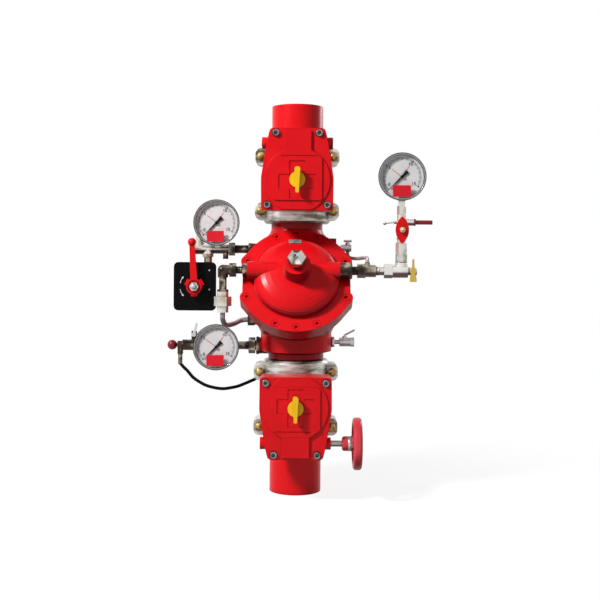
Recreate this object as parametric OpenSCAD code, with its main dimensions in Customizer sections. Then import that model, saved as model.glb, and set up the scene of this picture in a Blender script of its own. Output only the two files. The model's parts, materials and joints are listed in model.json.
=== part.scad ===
// Deluge valve station: a straight-through diaphragm deluge valve between two geared
// butterfly valves, with its pressure gauges, alarm cock and trim pipework.
// Millimetres. Origin at the centre of the inlet pipe's free end, +Z along the flow, -Y to the front.

/* [Pipe stack] */
// Outside diameter of the pipes and of every grooved end
pipe_od = 114.3; // [110:0.1:118]
// Wall thickness of the two pipes
pipe_wall = 4.5; // [3:0.1:6]
// Length of the inlet pipe
inlet_pipe_len = 143; // [120:1:220]
// Length of the outlet pipe
outlet_pipe_len = 111; // [80:1:220]
// Gap between two grooved ends inside a coupling
end_gap = 3.2; // [1:0.1:5]
// Distance from a grooved end to its groove
groove_offset = 15.9; // [14:0.1:18]
// Width of a groove
groove_w = 8.7; // [7:0.1:10]
// Depth of a groove
groove_depth = 2.1; // [1.5:0.1:2.6]

/* [Couplings] */
// Width of a coupling housing along the pipe
coupling_w = 54; // [50:1:60]
// Outside radius of a coupling housing
coupling_r = 74; // [71:0.5:78]
// Distance of a coupling bolt from the pipe axis
coupling_bolt_x = 80; // [78:0.5:84]
// Radius of a coupling bolt
coupling_bolt_r = 6; // [4:0.5:7]
// Depth of a bolt ear, from the split plane
ear_depth = 26; // [20:1:32]

/* [Butterfly valves] */
// Length of a butterfly valve, end to end
valve_len = 118; // [112:1:126]
// Outside radius of a valve's middle
valve_mid_r = 62; // [60:0.5:66]
// Radius of the disc
disc_r = 47.8; // [45:0.1:48]
// Thickness of the disc
disc_t = 7; // [5:0.5:10]
// Radius of the stem
stem_r = 7; // [6:0.5:9]
// Reach of the neck from the pipe axis to the gear housing
neck_len = 90; // [86:1:96]

/* [Gear operators] */
// Module of the worm drive
gear_m = 4.5; // [4:0.1:4.6]
// Teeth on a full worm wheel
gear_z = 28; // [26:1:28]
// Pitch radius of the worm
worm_pitch_r = 16.5; // [15:0.5:17]
// Half width of a gear housing
housing_half_w = 76; // [75.5:0.1:82]
// Height of a housing from the stem to its wide edge
housing_wide = 64; // [60:1:72]
// Height of a housing from the stem to its narrow edge
housing_narrow = 108.5; // [107:0.5:118]
// Depth of a housing casting
housing_depth = 52; // [50:1:60]
// Thickness of a housing cover
cover_plate_t = 8; // [6:0.5:12]
// Height of the raised shapes on a housing cover
cover_bulge_t = 5; // [4:0.5:8]
// Radius of the round raised face on a housing cover
cover_bulge_r = 69; // [64:0.5:70]
// Diameter of the handwheel
handwheel_d = 110; // [90:1:140]
// Number of handwheel spokes
handwheel_spokes = 5; // [3:1:6]

/* [Deluge valve] */
// Length of the deluge valve, end to end
deluge_len = 352.5; // [345:0.5:362]
// Radius of the bulb
bulb_r = 95; // [93:1:100]
// Radius of the waterway in the deluge valve
waterway_r = 52; // [48:0.5:53]
// Upward tilt of the cover axis
cover_tilt = 30; // [27:0.5:33]
// Height of the point where the cover axis meets the pipe axis, over the valve's lower end
cover_axis_rise = 136.6; // [134:0.1:139]
// Distance of the parting face from the pipe axis
parting_d = 122; // [120:0.5:124]
// Radius of the cover's bolt circle
cover_bolt_circle = 113; // [111:0.5:116]
// Number of places on the cover's bolt circle, with some left empty
cover_bolt_places = 16; // [16:1:16]
// Radius of a cover bolt
cover_bolt_r = 5; // [4:0.5:6]
// Thickness of the cover's flange
cover_flange_t = 18; // [16:0.5:20]
// Radius of the cover's dome at its foot
dome_r = 91; // [88:0.5:93]
// Height of the dome over the flange, at its centre
dome_h = 38; // [36:0.5:42]
// Radius of the cover's central boss
boss_r = 28; // [24:0.5:31]
// Height of the central boss over the flange
boss_h = 72; // [70:1:80]
// Radius of the seat's opening
seat_r = 40; // [36:0.5:41]
// Distance of the seat from the parting face
seat_drop = 33; // [31:0.5:35]
// Travel of the clapper
clapper_travel = 25; // [15:1:25]

/* [Gauges] */
// Radius of a gauge case
gauge_r = 50.4; // [46:0.1:52]
// Depth of a gauge case
gauge_depth = 30; // [26:0.5:40]

/* [Alarm cock] */
// Width of the plate
plate_w = 92; // [80:1:100]
// Height of the plate
plate_h = 105; // [90:1:120]
// Length of the lever, from its pivot to the centre of its ball
alarm_lever_len = 96; // [70:1:120]

/* [Trim] */
// Radius of the trim pipe
trim_r = 9; // [7.5:0.25:10]
// Radius of the rigid priming tube
tube_r = 5.5; // [4:0.25:6.5]
// Radius of the thin vent tube
vent_tube_r = 4; // [2:0.25:4.5]
// Radius of the black drain hose
hose_r = 3.7; // [3:0.1:4.5]
// Distance of the alarm cock from the pipe axis
alarm_reach = 220; // [216:1:228]
// Distance of the needle valve from the pipe axis
needle_reach = 259; // [256:1:266]
// Distance of the release line's gauge from the pipe axis
riser_reach = 220; // [216:1:232]

/* [Hidden] */

$fn = 64;
red = [0.80, 0.06, 0.08];
steel = [0.72, 0.72, 0.70];
brass = [0.72, 0.60, 0.30];
yellow = [0.93, 0.80, 0.10];
black = [0.08, 0.08, 0.09];
rubber = [0.12, 0.12, 0.12];
run_gap = 0.06;
touch_gap = 0.02;

// Heights along the pipe axis
pipe_r = pipe_od / 2;
pitch_a = inlet_pipe_len + end_gap / 2;
lower_valve_z = inlet_pipe_len + end_gap + valve_len / 2;
pitch_b = lower_valve_z + valve_len / 2 + end_gap / 2;
deluge_z0 = pitch_b + end_gap / 2;
deluge_z1 = deluge_z0 + deluge_len;
pitch_c = deluge_z1 + end_gap / 2;
upper_valve_z = pitch_c + end_gap / 2 + valve_len / 2;
pitch_d = upper_valve_z + valve_len / 2 + end_gap / 2;
outlet_z0 = pitch_d + end_gap / 2;
coupling_heights = [pitch_a, pitch_b, pitch_c, pitch_d];

// Coupling section
key_clear = 0.4;
cheek_r = pipe_r + key_clear;
key_r = pipe_r - groove_depth + key_clear;
key_z0 = end_gap / 2 + groove_offset + key_clear;
key_z1 = key_z0 + groove_w - 2 * key_clear;
gasket_r = pipe_r + 9;
gasket_half_w = end_gap / 2 + groove_offset - 2.6;
split_gap = 2;
ear_r = 13;
ear_rise = 6;

// Worm drive
lead = PI * gear_m;
lead_angle = atan(gear_m / (2 * worm_pitch_r));
gear_pitch_r = gear_m * gear_z / 2;
centre_dist = gear_pitch_r + worm_pitch_r;
worm_tip_r = worm_pitch_r + gear_m;
worm_root_r = worm_pitch_r - 1.2 * gear_m;
gear_tip_r = gear_pitch_r + gear_m;
gear_root_r = gear_pitch_r - 1.2 * gear_m;
gear_w = 16;
quarter_teeth = ceil(gear_z / 4);
worm_leads = 4;
gear_front = neck_len + housing_depth / 2 + 1;
shaft_r = 6.5;
wheel_seat_r = 5.5;
housing_front = neck_len + housing_depth;
cover_front = housing_front + cover_plate_t;
bulge_front = cover_front + cover_bulge_t;
screw_spots = [[63, 52.5], [-63, 52.5], [45.5, -98], [-45.5, -98]];
screw_r = 4;
screw_head_r = 7;
wheel_hub_x0 = 99;
wheel_hub_x1 = 134;
wheel_rim_x = 131;
wheel_nut_t = 6;

// Deluge valve
cover_axis_z = deluge_z0 + cover_axis_rise;
seat_d = parting_d - seat_drop;
cover_front_d = parting_d + cover_flange_t;
boss_front_d = cover_front_d + boss_h;
dome_top_d = cover_front_d + dome_h;
chamber_r = 84;
seat_wall = 8;
chamber_floor_d = seat_d - 20;
edge_r = cover_bolt_circle + 10;
side_edge = cover_bolt_circle + 1;
lobe_r = 14.5;
rim_t = 3;
rim_r = cover_bolt_circle - 12;
head_sink = 9;
head_r = 7.5;
recess_r = 8.2;
outlet_top_z = deluge_z1 - 31;
outlet_low_z = deluge_z0 + 211.6;
outlet_low_r = 44;
outlet_low_y = 6;
port_d = cover_front_d + 18.6;
port_u = 10.6;
port_y = port_u * sin(cover_tilt) - port_d * cos(cover_tilt);
port_z = cover_axis_z + port_u * cos(cover_tilt) + port_d * sin(cover_tilt);
port_left_x = -104;
port_right_x = 91.4;
port_boss_r = 19;
port_bore_r = 8;
port_bore_end = 44;

// Trim heights and places
gauge_wall = 20;
glass_r = gauge_r - 3.2;
glass_sink = 3.5;
glass_t = 3;
dial_t = 1;
alarm_line_y = -15;
alarm_line_z = deluge_z1 - 82.9;
alarm_gauge_x = -175.5;
alarm_gauge_back = 30;
alarm_gauge_z = alarm_line_z + 57.6;
back_stem_drop = 32;
supply_line_z = deluge_z0 + 54.6;
supply_gauge_x = -175;
supply_gauge_back = 26;
release_gauge_z = port_z + 198.5;
gauge_valve_z = port_z + 86.5;
bleed_z = port_z + 103;
cock_x = -alarm_reach;
cock_z = alarm_line_z - 81.5;
cock_front = 52;
down_x = cock_x + 23;
plate_y = -70;
plate_t = 3;
priming_x = -155;
priming_foot_z = port_z - 89.5;
body_port = [-106.5, -40, deluge_z0 + 114.6];
drain_x = 109;
drain_z = deluge_z0 + 63.6;
hose_port = [-42, 97, deluge_z0 + 66.6];
vent_x = 114;
vent_boss_x = 88;
vent_z = deluge_z1 - 78.9;
petcock_x = riser_reach + 23.5;
needle_x = -needle_reach;
test_cock_x = needle_x + 31;
test_cock_z = supply_line_z + 24;

// Direction helpers
module rod(a, b, r) {
    d = b - a;
    translate(a) rotate([0, acos(d[2] / norm(d)), atan2(d[1], d[0])]) cylinder(r = r, h = norm(d));
}

module hex_rod(a, b, flats) {
    d = b - a;
    translate(a) rotate([0, acos(d[2] / norm(d)), atan2(d[1], d[0])])
        cylinder(r = flats / 2 / cos(30), h = norm(d), $fn = 6);
}

// Fitting of a screwed line: it ends a hair short, so that each fitting stays a piece of its own
module run(a, b, r) { rod(a, b - unit(b - a) * touch_gap, r); }

module hex_run(a, b, flats) { hex_rod(a, b - unit(b - a) * touch_gap, flats); }

// Fittings laid end to end: each is [length, radius], or [length, width over flats, 6] for a hexagon
module fittings(start, way, parts, i = 0) {
    if (i < len(parts)) {
        stop = start + way * parts[i][0];
        if (len(parts[i]) == 3) hex_run(start, stop, parts[i][1]);
        else run(start, stop, parts[i][1]);
        fittings(stop, way, parts, i + 1);
    }
}

module face_on() { rotate([90, 0, 0]) children(); }

module in_cover_frame() { translate([0, 0, cover_axis_z]) rotate([90 - cover_tilt, 0, 0]) children(); }

module at_lower_valve() { translate([0, 0, lower_valve_z]) children(); }

module at_upper_valve() { translate([0, 0, upper_valve_z]) rotate([0, 180, 0]) children(); }

// Arc that rounds the corner p1 of the path p0, p1, p2
function corner(p0, p1, p2, r, n) =
    let (u = (p0 - p1) / norm(p0 - p1), v = (p2 - p1) / norm(p2 - p1), half = acos(u * v) / 2,
        c = p1 + (u + v) / norm(u + v) * (r / sin(half)),
        f0 = p1 + u * (r / tan(half)) - c, f1 = p1 + v * (r / tan(half)) - c,
        a = atan2(f0[1], f0[0]), turn = (atan2(f1[1], f1[0]) - a + 540) % 360 - 180)
    [for (i = [0:n]) c + r * [cos(a + turn * i / n), sin(a + turn * i / n)]];

function rounded(points, radii, n = 4) =
    let (k = len(points))
    [for (i = [0:k - 1]) each corner(points[(i + k - 1) % k], points[i], points[(i + 1) % k], radii[i], n)];

// Smooth path through hand-placed points, and a tube swept along it
function spline_point(p0, p1, p2, p3, t) =
    0.5 * (2 * p1 + (p2 - p0) * t + (2 * p0 - 5 * p1 + 4 * p2 - p3) * t * t
        + (3 * p1 - p0 - 3 * p2 + p3) * t * t * t);

function smooth_path(p, n) =
    let (k = len(p), q = concat([2 * p[0] - p[1]], p, [2 * p[k - 1] - p[k - 2]]))
    concat([for (i = [1:k - 1]) for (j = [0:n - 1]) spline_point(q[i - 1], q[i], q[i + 1], q[i + 2], j / n)],
        [p[k - 1]]);

function unit(v) = v / norm(v);

function path_tangents(p) =
    let (k = len(p)) [for (i = [0:k - 1]) unit(p[min(i + 1, k - 1)] - p[max(i - 1, 0)])];

function carried(tangents, side, i) =
    let (s = unit(side - tangents[i] * (side * tangents[i])))
    i == len(tangents) - 1 ? [s] : concat([s], carried(tangents, s, i + 1));

module swept_tube(path, r, sides, first_side) {
    tangents = path_tangents(path);
    across = carried(tangents, first_side, 0);
    k = len(path);
    points = [for (i = [0:k - 1]) for (j = [0:sides - 1])
        path[i] + r * (cos(360 * j / sides) * across[i]
            + sin(360 * j / sides) * cross(tangents[i], across[i]))];
    walls = [for (i = [0:k - 2]) for (j = [0:sides - 1])
        [i * sides + (j + 1) % sides, i * sides + j, (i + 1) * sides + j, (i + 1) * sides + (j + 1) % sides]];
    caps = [[for (j = [0:sides - 1]) j], [for (j = [sides - 1:-1:0]) (k - 1) * sides + j]];
    polyhedron(points, concat(walls, caps), convexity = 10);
}

// Grooved pipe ends
module groove_cut(z0) {
    rotate_extrude() translate([pipe_r - groove_depth, z0]) square([groove_depth + 10, groove_w]);
}

module pipe(len, groove_z) {
    difference() {
        cylinder(r = pipe_r, h = len);
        translate([0, 0, -1]) cylinder(r = pipe_r - pipe_wall, h = len + 2);
        groove_cut(groove_z);
    }
}

module inlet_pipe() {
    color(red) pipe(inlet_pipe_len, inlet_pipe_len - groove_offset - groove_w);
}

module outlet_pipe() {
    color(red) translate([0, 0, outlet_z0]) pipe(outlet_pipe_len, groove_offset);
}

// Coupling: two half housings with keys, bolt ears, a gasket and two bolts
module coupling_shell() {
    half_w = coupling_w / 2;
    shoulder = 5;
    rotate_extrude() polygon([
        [cheek_r, -half_w], [coupling_r - shoulder, -half_w], [coupling_r, shoulder - half_w],
        [coupling_r, half_w - shoulder], [coupling_r - shoulder, half_w], [cheek_r, half_w],
        [cheek_r, key_z1], [key_r, key_z1], [key_r, key_z0], [cheek_r, key_z0],
        [cheek_r, gasket_half_w + 0.3], [gasket_r + 0.3, gasket_half_w + 0.3],
        [gasket_r + 0.3, -gasket_half_w - 0.3], [cheek_r, -gasket_half_w - 0.3],
        [cheek_r, -key_z0], [key_r, -key_z0], [key_r, -key_z1], [cheek_r, -key_z1]]);
}

module ear_outline() {
    for (rise = [-ear_rise, ear_rise]) translate([coupling_bolt_x, rise]) circle(r = ear_r);
    translate([coupling_bolt_x - 2 * ear_r, -ear_rise - ear_r]) square([2 * ear_r, 2 * (ear_rise + ear_r)]);
    translate([coupling_bolt_x, -ear_rise]) square([ear_r, 2 * ear_rise]);
}

module coupling_front_half() {
    reach = coupling_bolt_x + ear_r;
    difference() {
        union() {
            intersection() {
                coupling_shell();
                translate([-reach, -reach, -coupling_w]) cube([2 * reach, reach - split_gap / 2, 2 * coupling_w]);
            }
            for (side = [0, 1]) mirror([side, 0, 0]) difference() {
                translate([0, -split_gap / 2, 0]) face_on() linear_extrude(ear_depth - split_gap / 2) ear_outline();
                cylinder(r = gasket_r + 0.3, h = 2 * coupling_w, center = true);
            }
        }
        for (x = [-coupling_bolt_x, coupling_bolt_x])
            translate([x, 0, 0]) face_on() cylinder(r = coupling_bolt_r + 0.5, h = reach);
    }
}

module coupling_front_halves() {
    color(steel) for (z = coupling_heights) translate([0, 0, z]) coupling_front_half();
}

module coupling_rear_halves() {
    color(steel) for (z = coupling_heights) translate([0, 0, z]) mirror([0, 1, 0]) coupling_front_half();
}

module coupling_gaskets() {
    color(rubber) for (z = coupling_heights) translate([0, 0, z]) rotate_extrude() difference() {
        translate([pipe_r + 0.1, -gasket_half_w]) square([gasket_r - pipe_r - 0.1, 2 * gasket_half_w]);
        translate([pipe_r, -gasket_half_w / 2]) square([(gasket_r - pipe_r) / 2, gasket_half_w]);
    }
}

module dome_head(r, h) {
    rotate_extrude() polygon(concat([[0, 0], [r, 0]],
        [for (a = [0:15:90]) [r * cos(a), h * (0.45 + 0.55 * sin(a))]]));
}

module coupling_bolts() {
    color(brass) for (z = coupling_heights) for (x = [-coupling_bolt_x, coupling_bolt_x])
        translate([x, 0, z]) face_on() {
            translate([0, 0, -ear_depth - 15]) cylinder(r = coupling_bolt_r, h = 2 * ear_depth + 15);
            translate([0, 0, ear_depth]) dome_head(coupling_bolt_r + 3.5, 10);
        }
}

module coupling_nuts() {
    color(steel) for (z = coupling_heights) for (x = [-coupling_bolt_x, coupling_bolt_x])
        translate([x, ear_depth, z]) rotate([-90, 0, 0]) difference() {
            cylinder(r = 11, h = 11, $fn = 6);
            translate([0, 0, -1]) cylinder(r = coupling_bolt_r + touch_gap, h = 13);
        }
}

// Butterfly valve, in its own frame with the stem on -Y
module valve_body() {
    bore_r = disc_r + 3.2;
    rear = valve_mid_r + 6;
    mid_len = valve_len - coupling_w + end_gap;
    difference() {
        union() {
            cylinder(r = pipe_r, h = valve_len, center = true);
            cylinder(r = valve_mid_r, h = mid_len - 2, center = true);
            face_on() {
                cylinder(r = 22, h = neck_len);
                translate([0, 0, neck_len - 10]) cylinder(r = 42, h = 10);
                translate([0, 0, -rear]) cylinder(r = 15, h = rear);
            }
            for (side = [-1, 1]) translate([side * 14, -neck_len + 9, 0])
                rotate([0, side * 90, 0]) translate([-5, 0, 0]) cube([10, neck_len - valve_mid_r + 6, 22]);
        }
        cylinder(r = bore_r, h = valve_len + 2, center = true);
        face_on() translate([0, 0, 8 - rear]) cylinder(r = stem_r + run_gap, h = rear + neck_len);
        groove_cut(valve_len / 2 - groove_offset - groove_w);
        groove_cut(groove_offset - valve_len / 2);
    }
}

module valve_liner() {
    difference() {
        cylinder(r = disc_r + 3.2 - touch_gap, h = 34, center = true);
        cylinder(r = disc_r + 0.5, h = 36, center = true);
        face_on() cylinder(r = stem_r + 1, h = 4 * disc_r, center = true);
    }
}

module valve_disc() {
    hub_r = stem_r + 4.5;
    difference() {
        union() {
            rotate([0, 90, 0]) cylinder(r = disc_r, h = disc_t, center = true);
            intersection() {
                face_on() cylinder(r = hub_r, h = 2 * disc_r, center = true);
                sphere(r = disc_r);
            }
        }
        face_on() cylinder(r = stem_r + touch_gap, h = 3 * disc_r, center = true);
    }
}

module valve_stem() {
    face_on() translate([0, 0, -valve_mid_r + 4]) cylinder(r = stem_r, h = valve_mid_r - 4 + bulge_front + 5);
}

// Worm drive, drawn face on: x to the right, y up, z to the front
function housing_side(side) = [
    [side * (housing_half_w - 0.6), housing_wide], [side * housing_half_w, -5],
    [side * (housing_half_w - 7), -50], [side * (housing_half_w - 13), -85],
    [side * (housing_half_w - 18.5), -housing_narrow]];

function housing_points() =
    let (left = housing_side(-1), right = housing_side(1))
    rounded(concat(left, [for (i = [4:-1:0]) right[i]]), [7, 60, 40, 30, 9, 9, 30, 40, 60, 7]);

function arc(r, from, to, n) = [for (i = [0:n]) r * [cos(from + (to - from) * i / n), sin(from + (to - from) * i / n)]];

module gear_housing() {
    boss_out = housing_half_w - 1;
    difference() {
        union() {
            translate([0, 0, neck_len]) linear_extrude(housing_depth) polygon(housing_points());
            for (side = [-1, 1]) rod([side * 55, -centre_dist, gear_front], [side * boss_out, -centre_dist, gear_front], 13);
        }
        translate([0, 0, neck_len + 9]) linear_extrude(housing_depth) {
            polygon(concat(arc(gear_tip_r + 2, 162, 378, 24)));
            circle(r = 32);
        }
        rod([-42, -centre_dist, gear_front], [42, -centre_dist, gear_front], worm_tip_r + 1.5);
        rod([-71, -centre_dist, gear_front], [housing_half_w + 5, -centre_dist, gear_front], shaft_r + run_gap);
        cylinder(r = stem_r + 1, h = housing_front);
        for (spot = screw_spots) translate([spot[0], spot[1], housing_front - 20])
            cylinder(r = screw_r + touch_gap, h = 21);
    }
}

// The raised face carries a plateau with shoulders, a pad below it, and a cross-shaped recess for the pointer
module gear_cover() {
    plateau = [[52, 43], [-52, 43], [-52, -45], [-30, -61], [30, -61], [52, -45]];
    pad = [[29, 0], [-29, 0], [-29, 4.5 - housing_narrow], [29, 4.5 - housing_narrow]];
    cross_depth = 1.5;
    difference() {
        union() {
            translate([0, 0, housing_front]) linear_extrude(cover_plate_t) polygon(housing_points());
            intersection() {
                translate([0, 0, cover_front]) cylinder(r = cover_bulge_r, h = cover_bulge_t / 2);
                translate([-housing_half_w, -housing_half_w, cover_front - 1])
                    cube([2 * housing_half_w, housing_half_w + housing_wide - 2, cover_bulge_t]);
            }
            translate([0, 0, cover_front]) {
                linear_extrude(cover_bulge_t) polygon(rounded(plateau, [6, 6, 2, 2, 2, 2]));
                linear_extrude(cover_bulge_t - 0.4) polygon(rounded(pad, [2, 2, 3, 3]));
            }
        }
        cylinder(r = stem_r + run_gap, h = 2 * bulge_front);
        for (spot = screw_spots) translate([spot[0], spot[1], housing_front - 1]) {
            cylinder(r = screw_r + 0.3, h = cover_plate_t + 2);
            translate([0, 0, cover_plate_t - 1]) cylinder(r = screw_head_r + 1.2, h = 3);
        }
        translate([0, 0, bulge_front - cross_depth]) {
            translate([-16.5, -39.7, 0]) cube([33, 2 * 39.7, 2 * cross_depth]);
            translate([-39, -11.5, 0]) cube([2 * 39, 30.5, 2 * cross_depth]);
        }
        translate([-42, -50.5, bulge_front - 1]) cube([75, 2, 2]);
    }
}

module socket_screw() {
    difference() {
        union() {
            translate([0, 0, -cover_plate_t - 14]) cylinder(r = screw_r, h = cover_plate_t + 14);
            cylinder(r = screw_head_r, h = 7);
        }
        translate([0, 0, 2]) cylinder(r = screw_head_r - 2.4, h = 6, $fn = 6);
    }
}

module cover_screw_set() {
    for (spot = screw_spots) translate([spot[0], spot[1], cover_front - 2]) socket_screw();
}

// One tooth, kept inside the involute that a rack with 20 degree flanks would cut
module gear_tooth() {
    pitch_half = PI * gear_m / 4;
    rotate([-lead_angle, 0, 0]) linear_extrude(gear_w, center = true) polygon([
        [gear_root_r - 2, -pitch_half - 0.6], [gear_pitch_r, 0.35 - pitch_half], [gear_tip_r, 2.2 - pitch_half],
        [gear_tip_r, pitch_half - 2.2], [gear_pitch_r, pitch_half - 0.35], [gear_root_r - 2, pitch_half + 0.6]]);
}

module sector_gear() {
    pitch_deg = 360 / gear_z;
    margin = pitch_deg / 2;
    first = -90 - pitch_deg;
    last = -90 + (quarter_teeth + 1) * pitch_deg;
    difference() {
        union() {
            translate([0, 0, gear_front - gear_w / 2]) linear_extrude(gear_w)
                polygon(concat([[0, 0]], arc(gear_root_r, first - margin, last + margin, 24)));
            translate([0, 0, neck_len + 10]) cylinder(r = 22, h = housing_depth - 14);
            for (k = [-1:quarter_teeth + 1]) translate([0, 0, gear_front])
                rotate([0, 0, -90 + k * pitch_deg]) gear_tooth();
        }
        cylinder(r = stem_r + touch_gap, h = 2 * housing_front);
        for (turn = [-78, -45, -12]) rotate([0, 0, turn]) translate([39, 0, 0])
            cylinder(r = 8, h = 2 * housing_front);
    }
}

// Thread of one start, as a trapezoid swept along the helix. It meets the gear at the worm's +y side.
module worm_thread() {
    steps = 24;
    n = steps * worm_leads;
    sink = 0.5;
    r_in = worm_root_r - sink;
    half_in = lead / 4 - 0.4 + (worm_pitch_r - r_in) * tan(20);
    half_out = lead / 4 - 0.4 - gear_m * tan(20);
    points = [for (i = [0:n]) let (a = 360 * i / steps + 180, x = lead * (i / steps - worm_leads / 2))
        for (p = [[-half_in, r_in], [-half_out, worm_tip_r], [half_out, worm_tip_r], [half_in, r_in]])
            [x + p[0], p[1] * cos(a), p[1] * sin(a)]];
    walls = [for (i = [0:n - 1]) for (j = [0:3])
        [4 * i + j, 4 * i + (j + 1) % 4, 4 * i + 4 + (j + 1) % 4, 4 * i + 4 + j]];
    polyhedron(points, concat(walls, [[3, 2, 1, 0], [4 * n, 4 * n + 1, 4 * n + 2, 4 * n + 3]]), convexity = 10);
}

module worm_shaft(out_x, seat_x) {
    translate([0, -centre_dist, gear_front]) {
        rod([-38, 0, 0], [40, 0, 0], worm_root_r);
        worm_thread();
        rod([-70, 0, 0], [seat_x, 0, 0], shaft_r);
        if (out_x > seat_x) rod([seat_x, 0, 0], [out_x, 0, 0], wheel_seat_r);
    }
}

module indicator() {
    fin_h = 12;
    difference() {
        union() {
            translate([0, 0, bulge_front + 1]) cylinder(r = 16.5, h = 6);
            translate([0, 0, bulge_front + 6]) linear_extrude(fin_h) polygon(rounded(
                [[6.4, 26], [-6.4, 26], [-3.5, -28], [3.5, -28]], [5, 5, 2.5, 2.5]));
        }
        cylinder(r = stem_r + touch_gap, h = bulge_front + 5 + touch_gap);
    }
}

module lower_valve_body() { color(red) at_lower_valve() valve_body(); }
module lower_valve_disc() { color(steel) at_lower_valve() valve_disc(); }
module lower_valve_stem() { color(steel) at_lower_valve() valve_stem(); }
module lower_gear_housing() { color(red) at_lower_valve() face_on() gear_housing(); }
module lower_gear_cover() { color(red) at_lower_valve() face_on() gear_cover(); }
module lower_sector_gear() { color(steel) at_lower_valve() face_on() sector_gear(); }
module lower_worm_shaft() { color(steel) at_lower_valve() face_on() worm_shaft(wheel_hub_x1 + wheel_nut_t + 1, wheel_hub_x0); }
module lower_indicator() { color(yellow) at_lower_valve() face_on() indicator(); }
module upper_valve_body() { color(red) at_upper_valve() valve_body(); }
module upper_valve_disc() { color(steel) at_upper_valve() valve_disc(); }
module upper_valve_stem() { color(steel) at_upper_valve() valve_stem(); }
module upper_gear_housing() { color(red) at_upper_valve() face_on() gear_housing(); }
module upper_gear_cover() { color(red) at_upper_valve() face_on() gear_cover(); }
module upper_sector_gear() { color(steel) at_upper_valve() face_on() sector_gear(); }
module upper_worm_shaft() { color(steel) at_upper_valve() face_on() worm_shaft(0, housing_half_w); }
// The upper pointer shows the same way up as the lower one
module upper_indicator() { color(yellow) translate([0, 0, upper_valve_z]) face_on() indicator(); }

module valve_liners() {
    color(rubber) {
        at_lower_valve() valve_liner();
        at_upper_valve() valve_liner();
    }
}

module gear_cover_screws() {
    color(steel) {
        at_lower_valve() face_on() cover_screw_set();
        at_upper_valve() face_on() cover_screw_set();
    }
}

module handwheel() {
    rim_r = handwheel_d / 2;
    rim_t = 15;
    half_w = 9.25;
    hub_r = 15.4;
    color(red) at_lower_valve() face_on() translate([0, -centre_dist, gear_front]) rotate([0, 90, 0]) difference() {
        union() {
            translate([0, 0, wheel_rim_x]) rotate_extrude() polygon(rounded(
                [[rim_r, half_w], [rim_r - rim_t, half_w], [rim_r - rim_t, -half_w], [rim_r, -half_w]],
                [6, 6, 6, 6]));
            rotate_extrude() polygon([[0, wheel_hub_x0], [hub_r - 3, wheel_hub_x0], [hub_r, wheel_hub_x0 + 3],
                [hub_r, wheel_hub_x1], [0, wheel_hub_x1]]);
            for (i = [0:handwheel_spokes - 1]) rotate([0, 0, 360 * i / handwheel_spokes + 18])
                rod([hub_r - 4, 0, wheel_rim_x - 3], [rim_r - rim_t / 2, 0, wheel_rim_x - 1], 5);
        }
        cylinder(r = wheel_seat_r + touch_gap, h = 2 * wheel_rim_x);
    }
}

module handwheel_nut() {
    color(steel) at_lower_valve() face_on() translate([0, -centre_dist, gear_front]) difference() {
        hex_rod([wheel_hub_x1, 0, 0], [wheel_hub_x1 + wheel_nut_t, 0, 0], 17);
        rod([0, 0, 0], [2 * wheel_hub_x1, 0, 0], wheel_seat_r + touch_gap);
    }
}

// Deluge valve body: bulb, slanted barrel with a lobed flange, port bosses, and its waterways
// Round flange with flat sides and a lobe at each of the four side bolts, run into its rim
module lobed_flange(t) {
    at = 360 / cover_bolt_places;
    to = at + acos((edge_r - lobe_r) / cover_bolt_circle);
    spot = cover_bolt_circle * [cos(at), sin(at)];
    sink = 0.3;
    fill = [[0, 0], spot, spot + (lobe_r - sink) * [cos(to), sin(to)], (edge_r - sink) * [cos(to), sin(to)]];
    intersection() {
        cylinder(r = edge_r, h = t);
        translate([-side_edge, -edge_r - 1, -1]) cube([2 * side_edge, 2 * edge_r + 2, t + 2]);
    }
    at_cover_bolts([1, 7, 9, 15]) cylinder(r = lobe_r, h = t);
    for (across = [-1, 1]) for (up = [-1, 1]) linear_extrude(t)
        polygon([for (p = fill) [across * p[0], up * p[1]]]);
}

// Bolts stand at 22.5 degrees either side of the level line, and three at the top and the bottom
cover_bolt_spots = [1, 3, 4, 5, 7, 9, 11, 12, 13, 15];

module at_cover_bolts(spots) {
    for (i = spots) rotate([0, 0, i * 360 / cover_bolt_places]) translate([cover_bolt_circle, 0, 0]) children();
}

module bulb_outside() {
    low = deluge_z0;
    high = deluge_z1;
    collar_z = low + coupling_w / 2 - end_gap / 2 + 0.6;
    collar_r = pipe_r + 4.5;
    chest_r = 79;
    rotate_extrude() polygon([
        [0, low], [pipe_r, low], [pipe_r, collar_z], [collar_r, collar_z + 2],
        [collar_r, low + 39.6], [chest_r, low + 44.6], [chest_r, low + 85.6], [87, low + 101.6],
        [92, low + 117.6], [bulb_r, low + 146.6], [bulb_r, high - 125.9], [92, high - 98.9],
        [84, high - 74.9], [70, high - 57.9], [60, high - 46.9], [pipe_r, high - 38.9], [pipe_r, high], [0, high]]);
}

module deluge_outside() {
    bulb_outside();
    in_cover_frame() {
        cylinder(r = chamber_r + 11, h = parting_d);
        translate([0, 0, parting_d - 18]) lobed_flange(18);
    }
    rod([-60, alarm_line_y, alarm_line_z], [-99, alarm_line_y, alarm_line_z], 13);
    rod([60, 0, vent_z + 6], [vent_boss_x, 0, vent_z + 6], 16);
    rod([-70, body_port[1], body_port[2]], [body_port[0] + 15.5, body_port[1], body_port[2]], 11);
    rod([-60, 0, supply_line_z], [-82, 0, supply_line_z], 18);
    rod([60, 0, drain_z], [81, 0, drain_z], 12);
    rod([hose_port[0], 50, hose_port[2]], [hose_port[0], hose_port[1] - 17, hose_port[2]], 12);
}

module inlet_cavity() {
    translate([0, 0, deluge_z0 - 1]) cylinder(r = waterway_r, h = cover_axis_rise - 18);
    translate([0, 10, cover_axis_z - 10]) sphere(r = 44);
    in_cover_frame() translate([0, 0, -12]) cylinder(r = seat_r, h = seat_d + 30);
}

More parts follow.
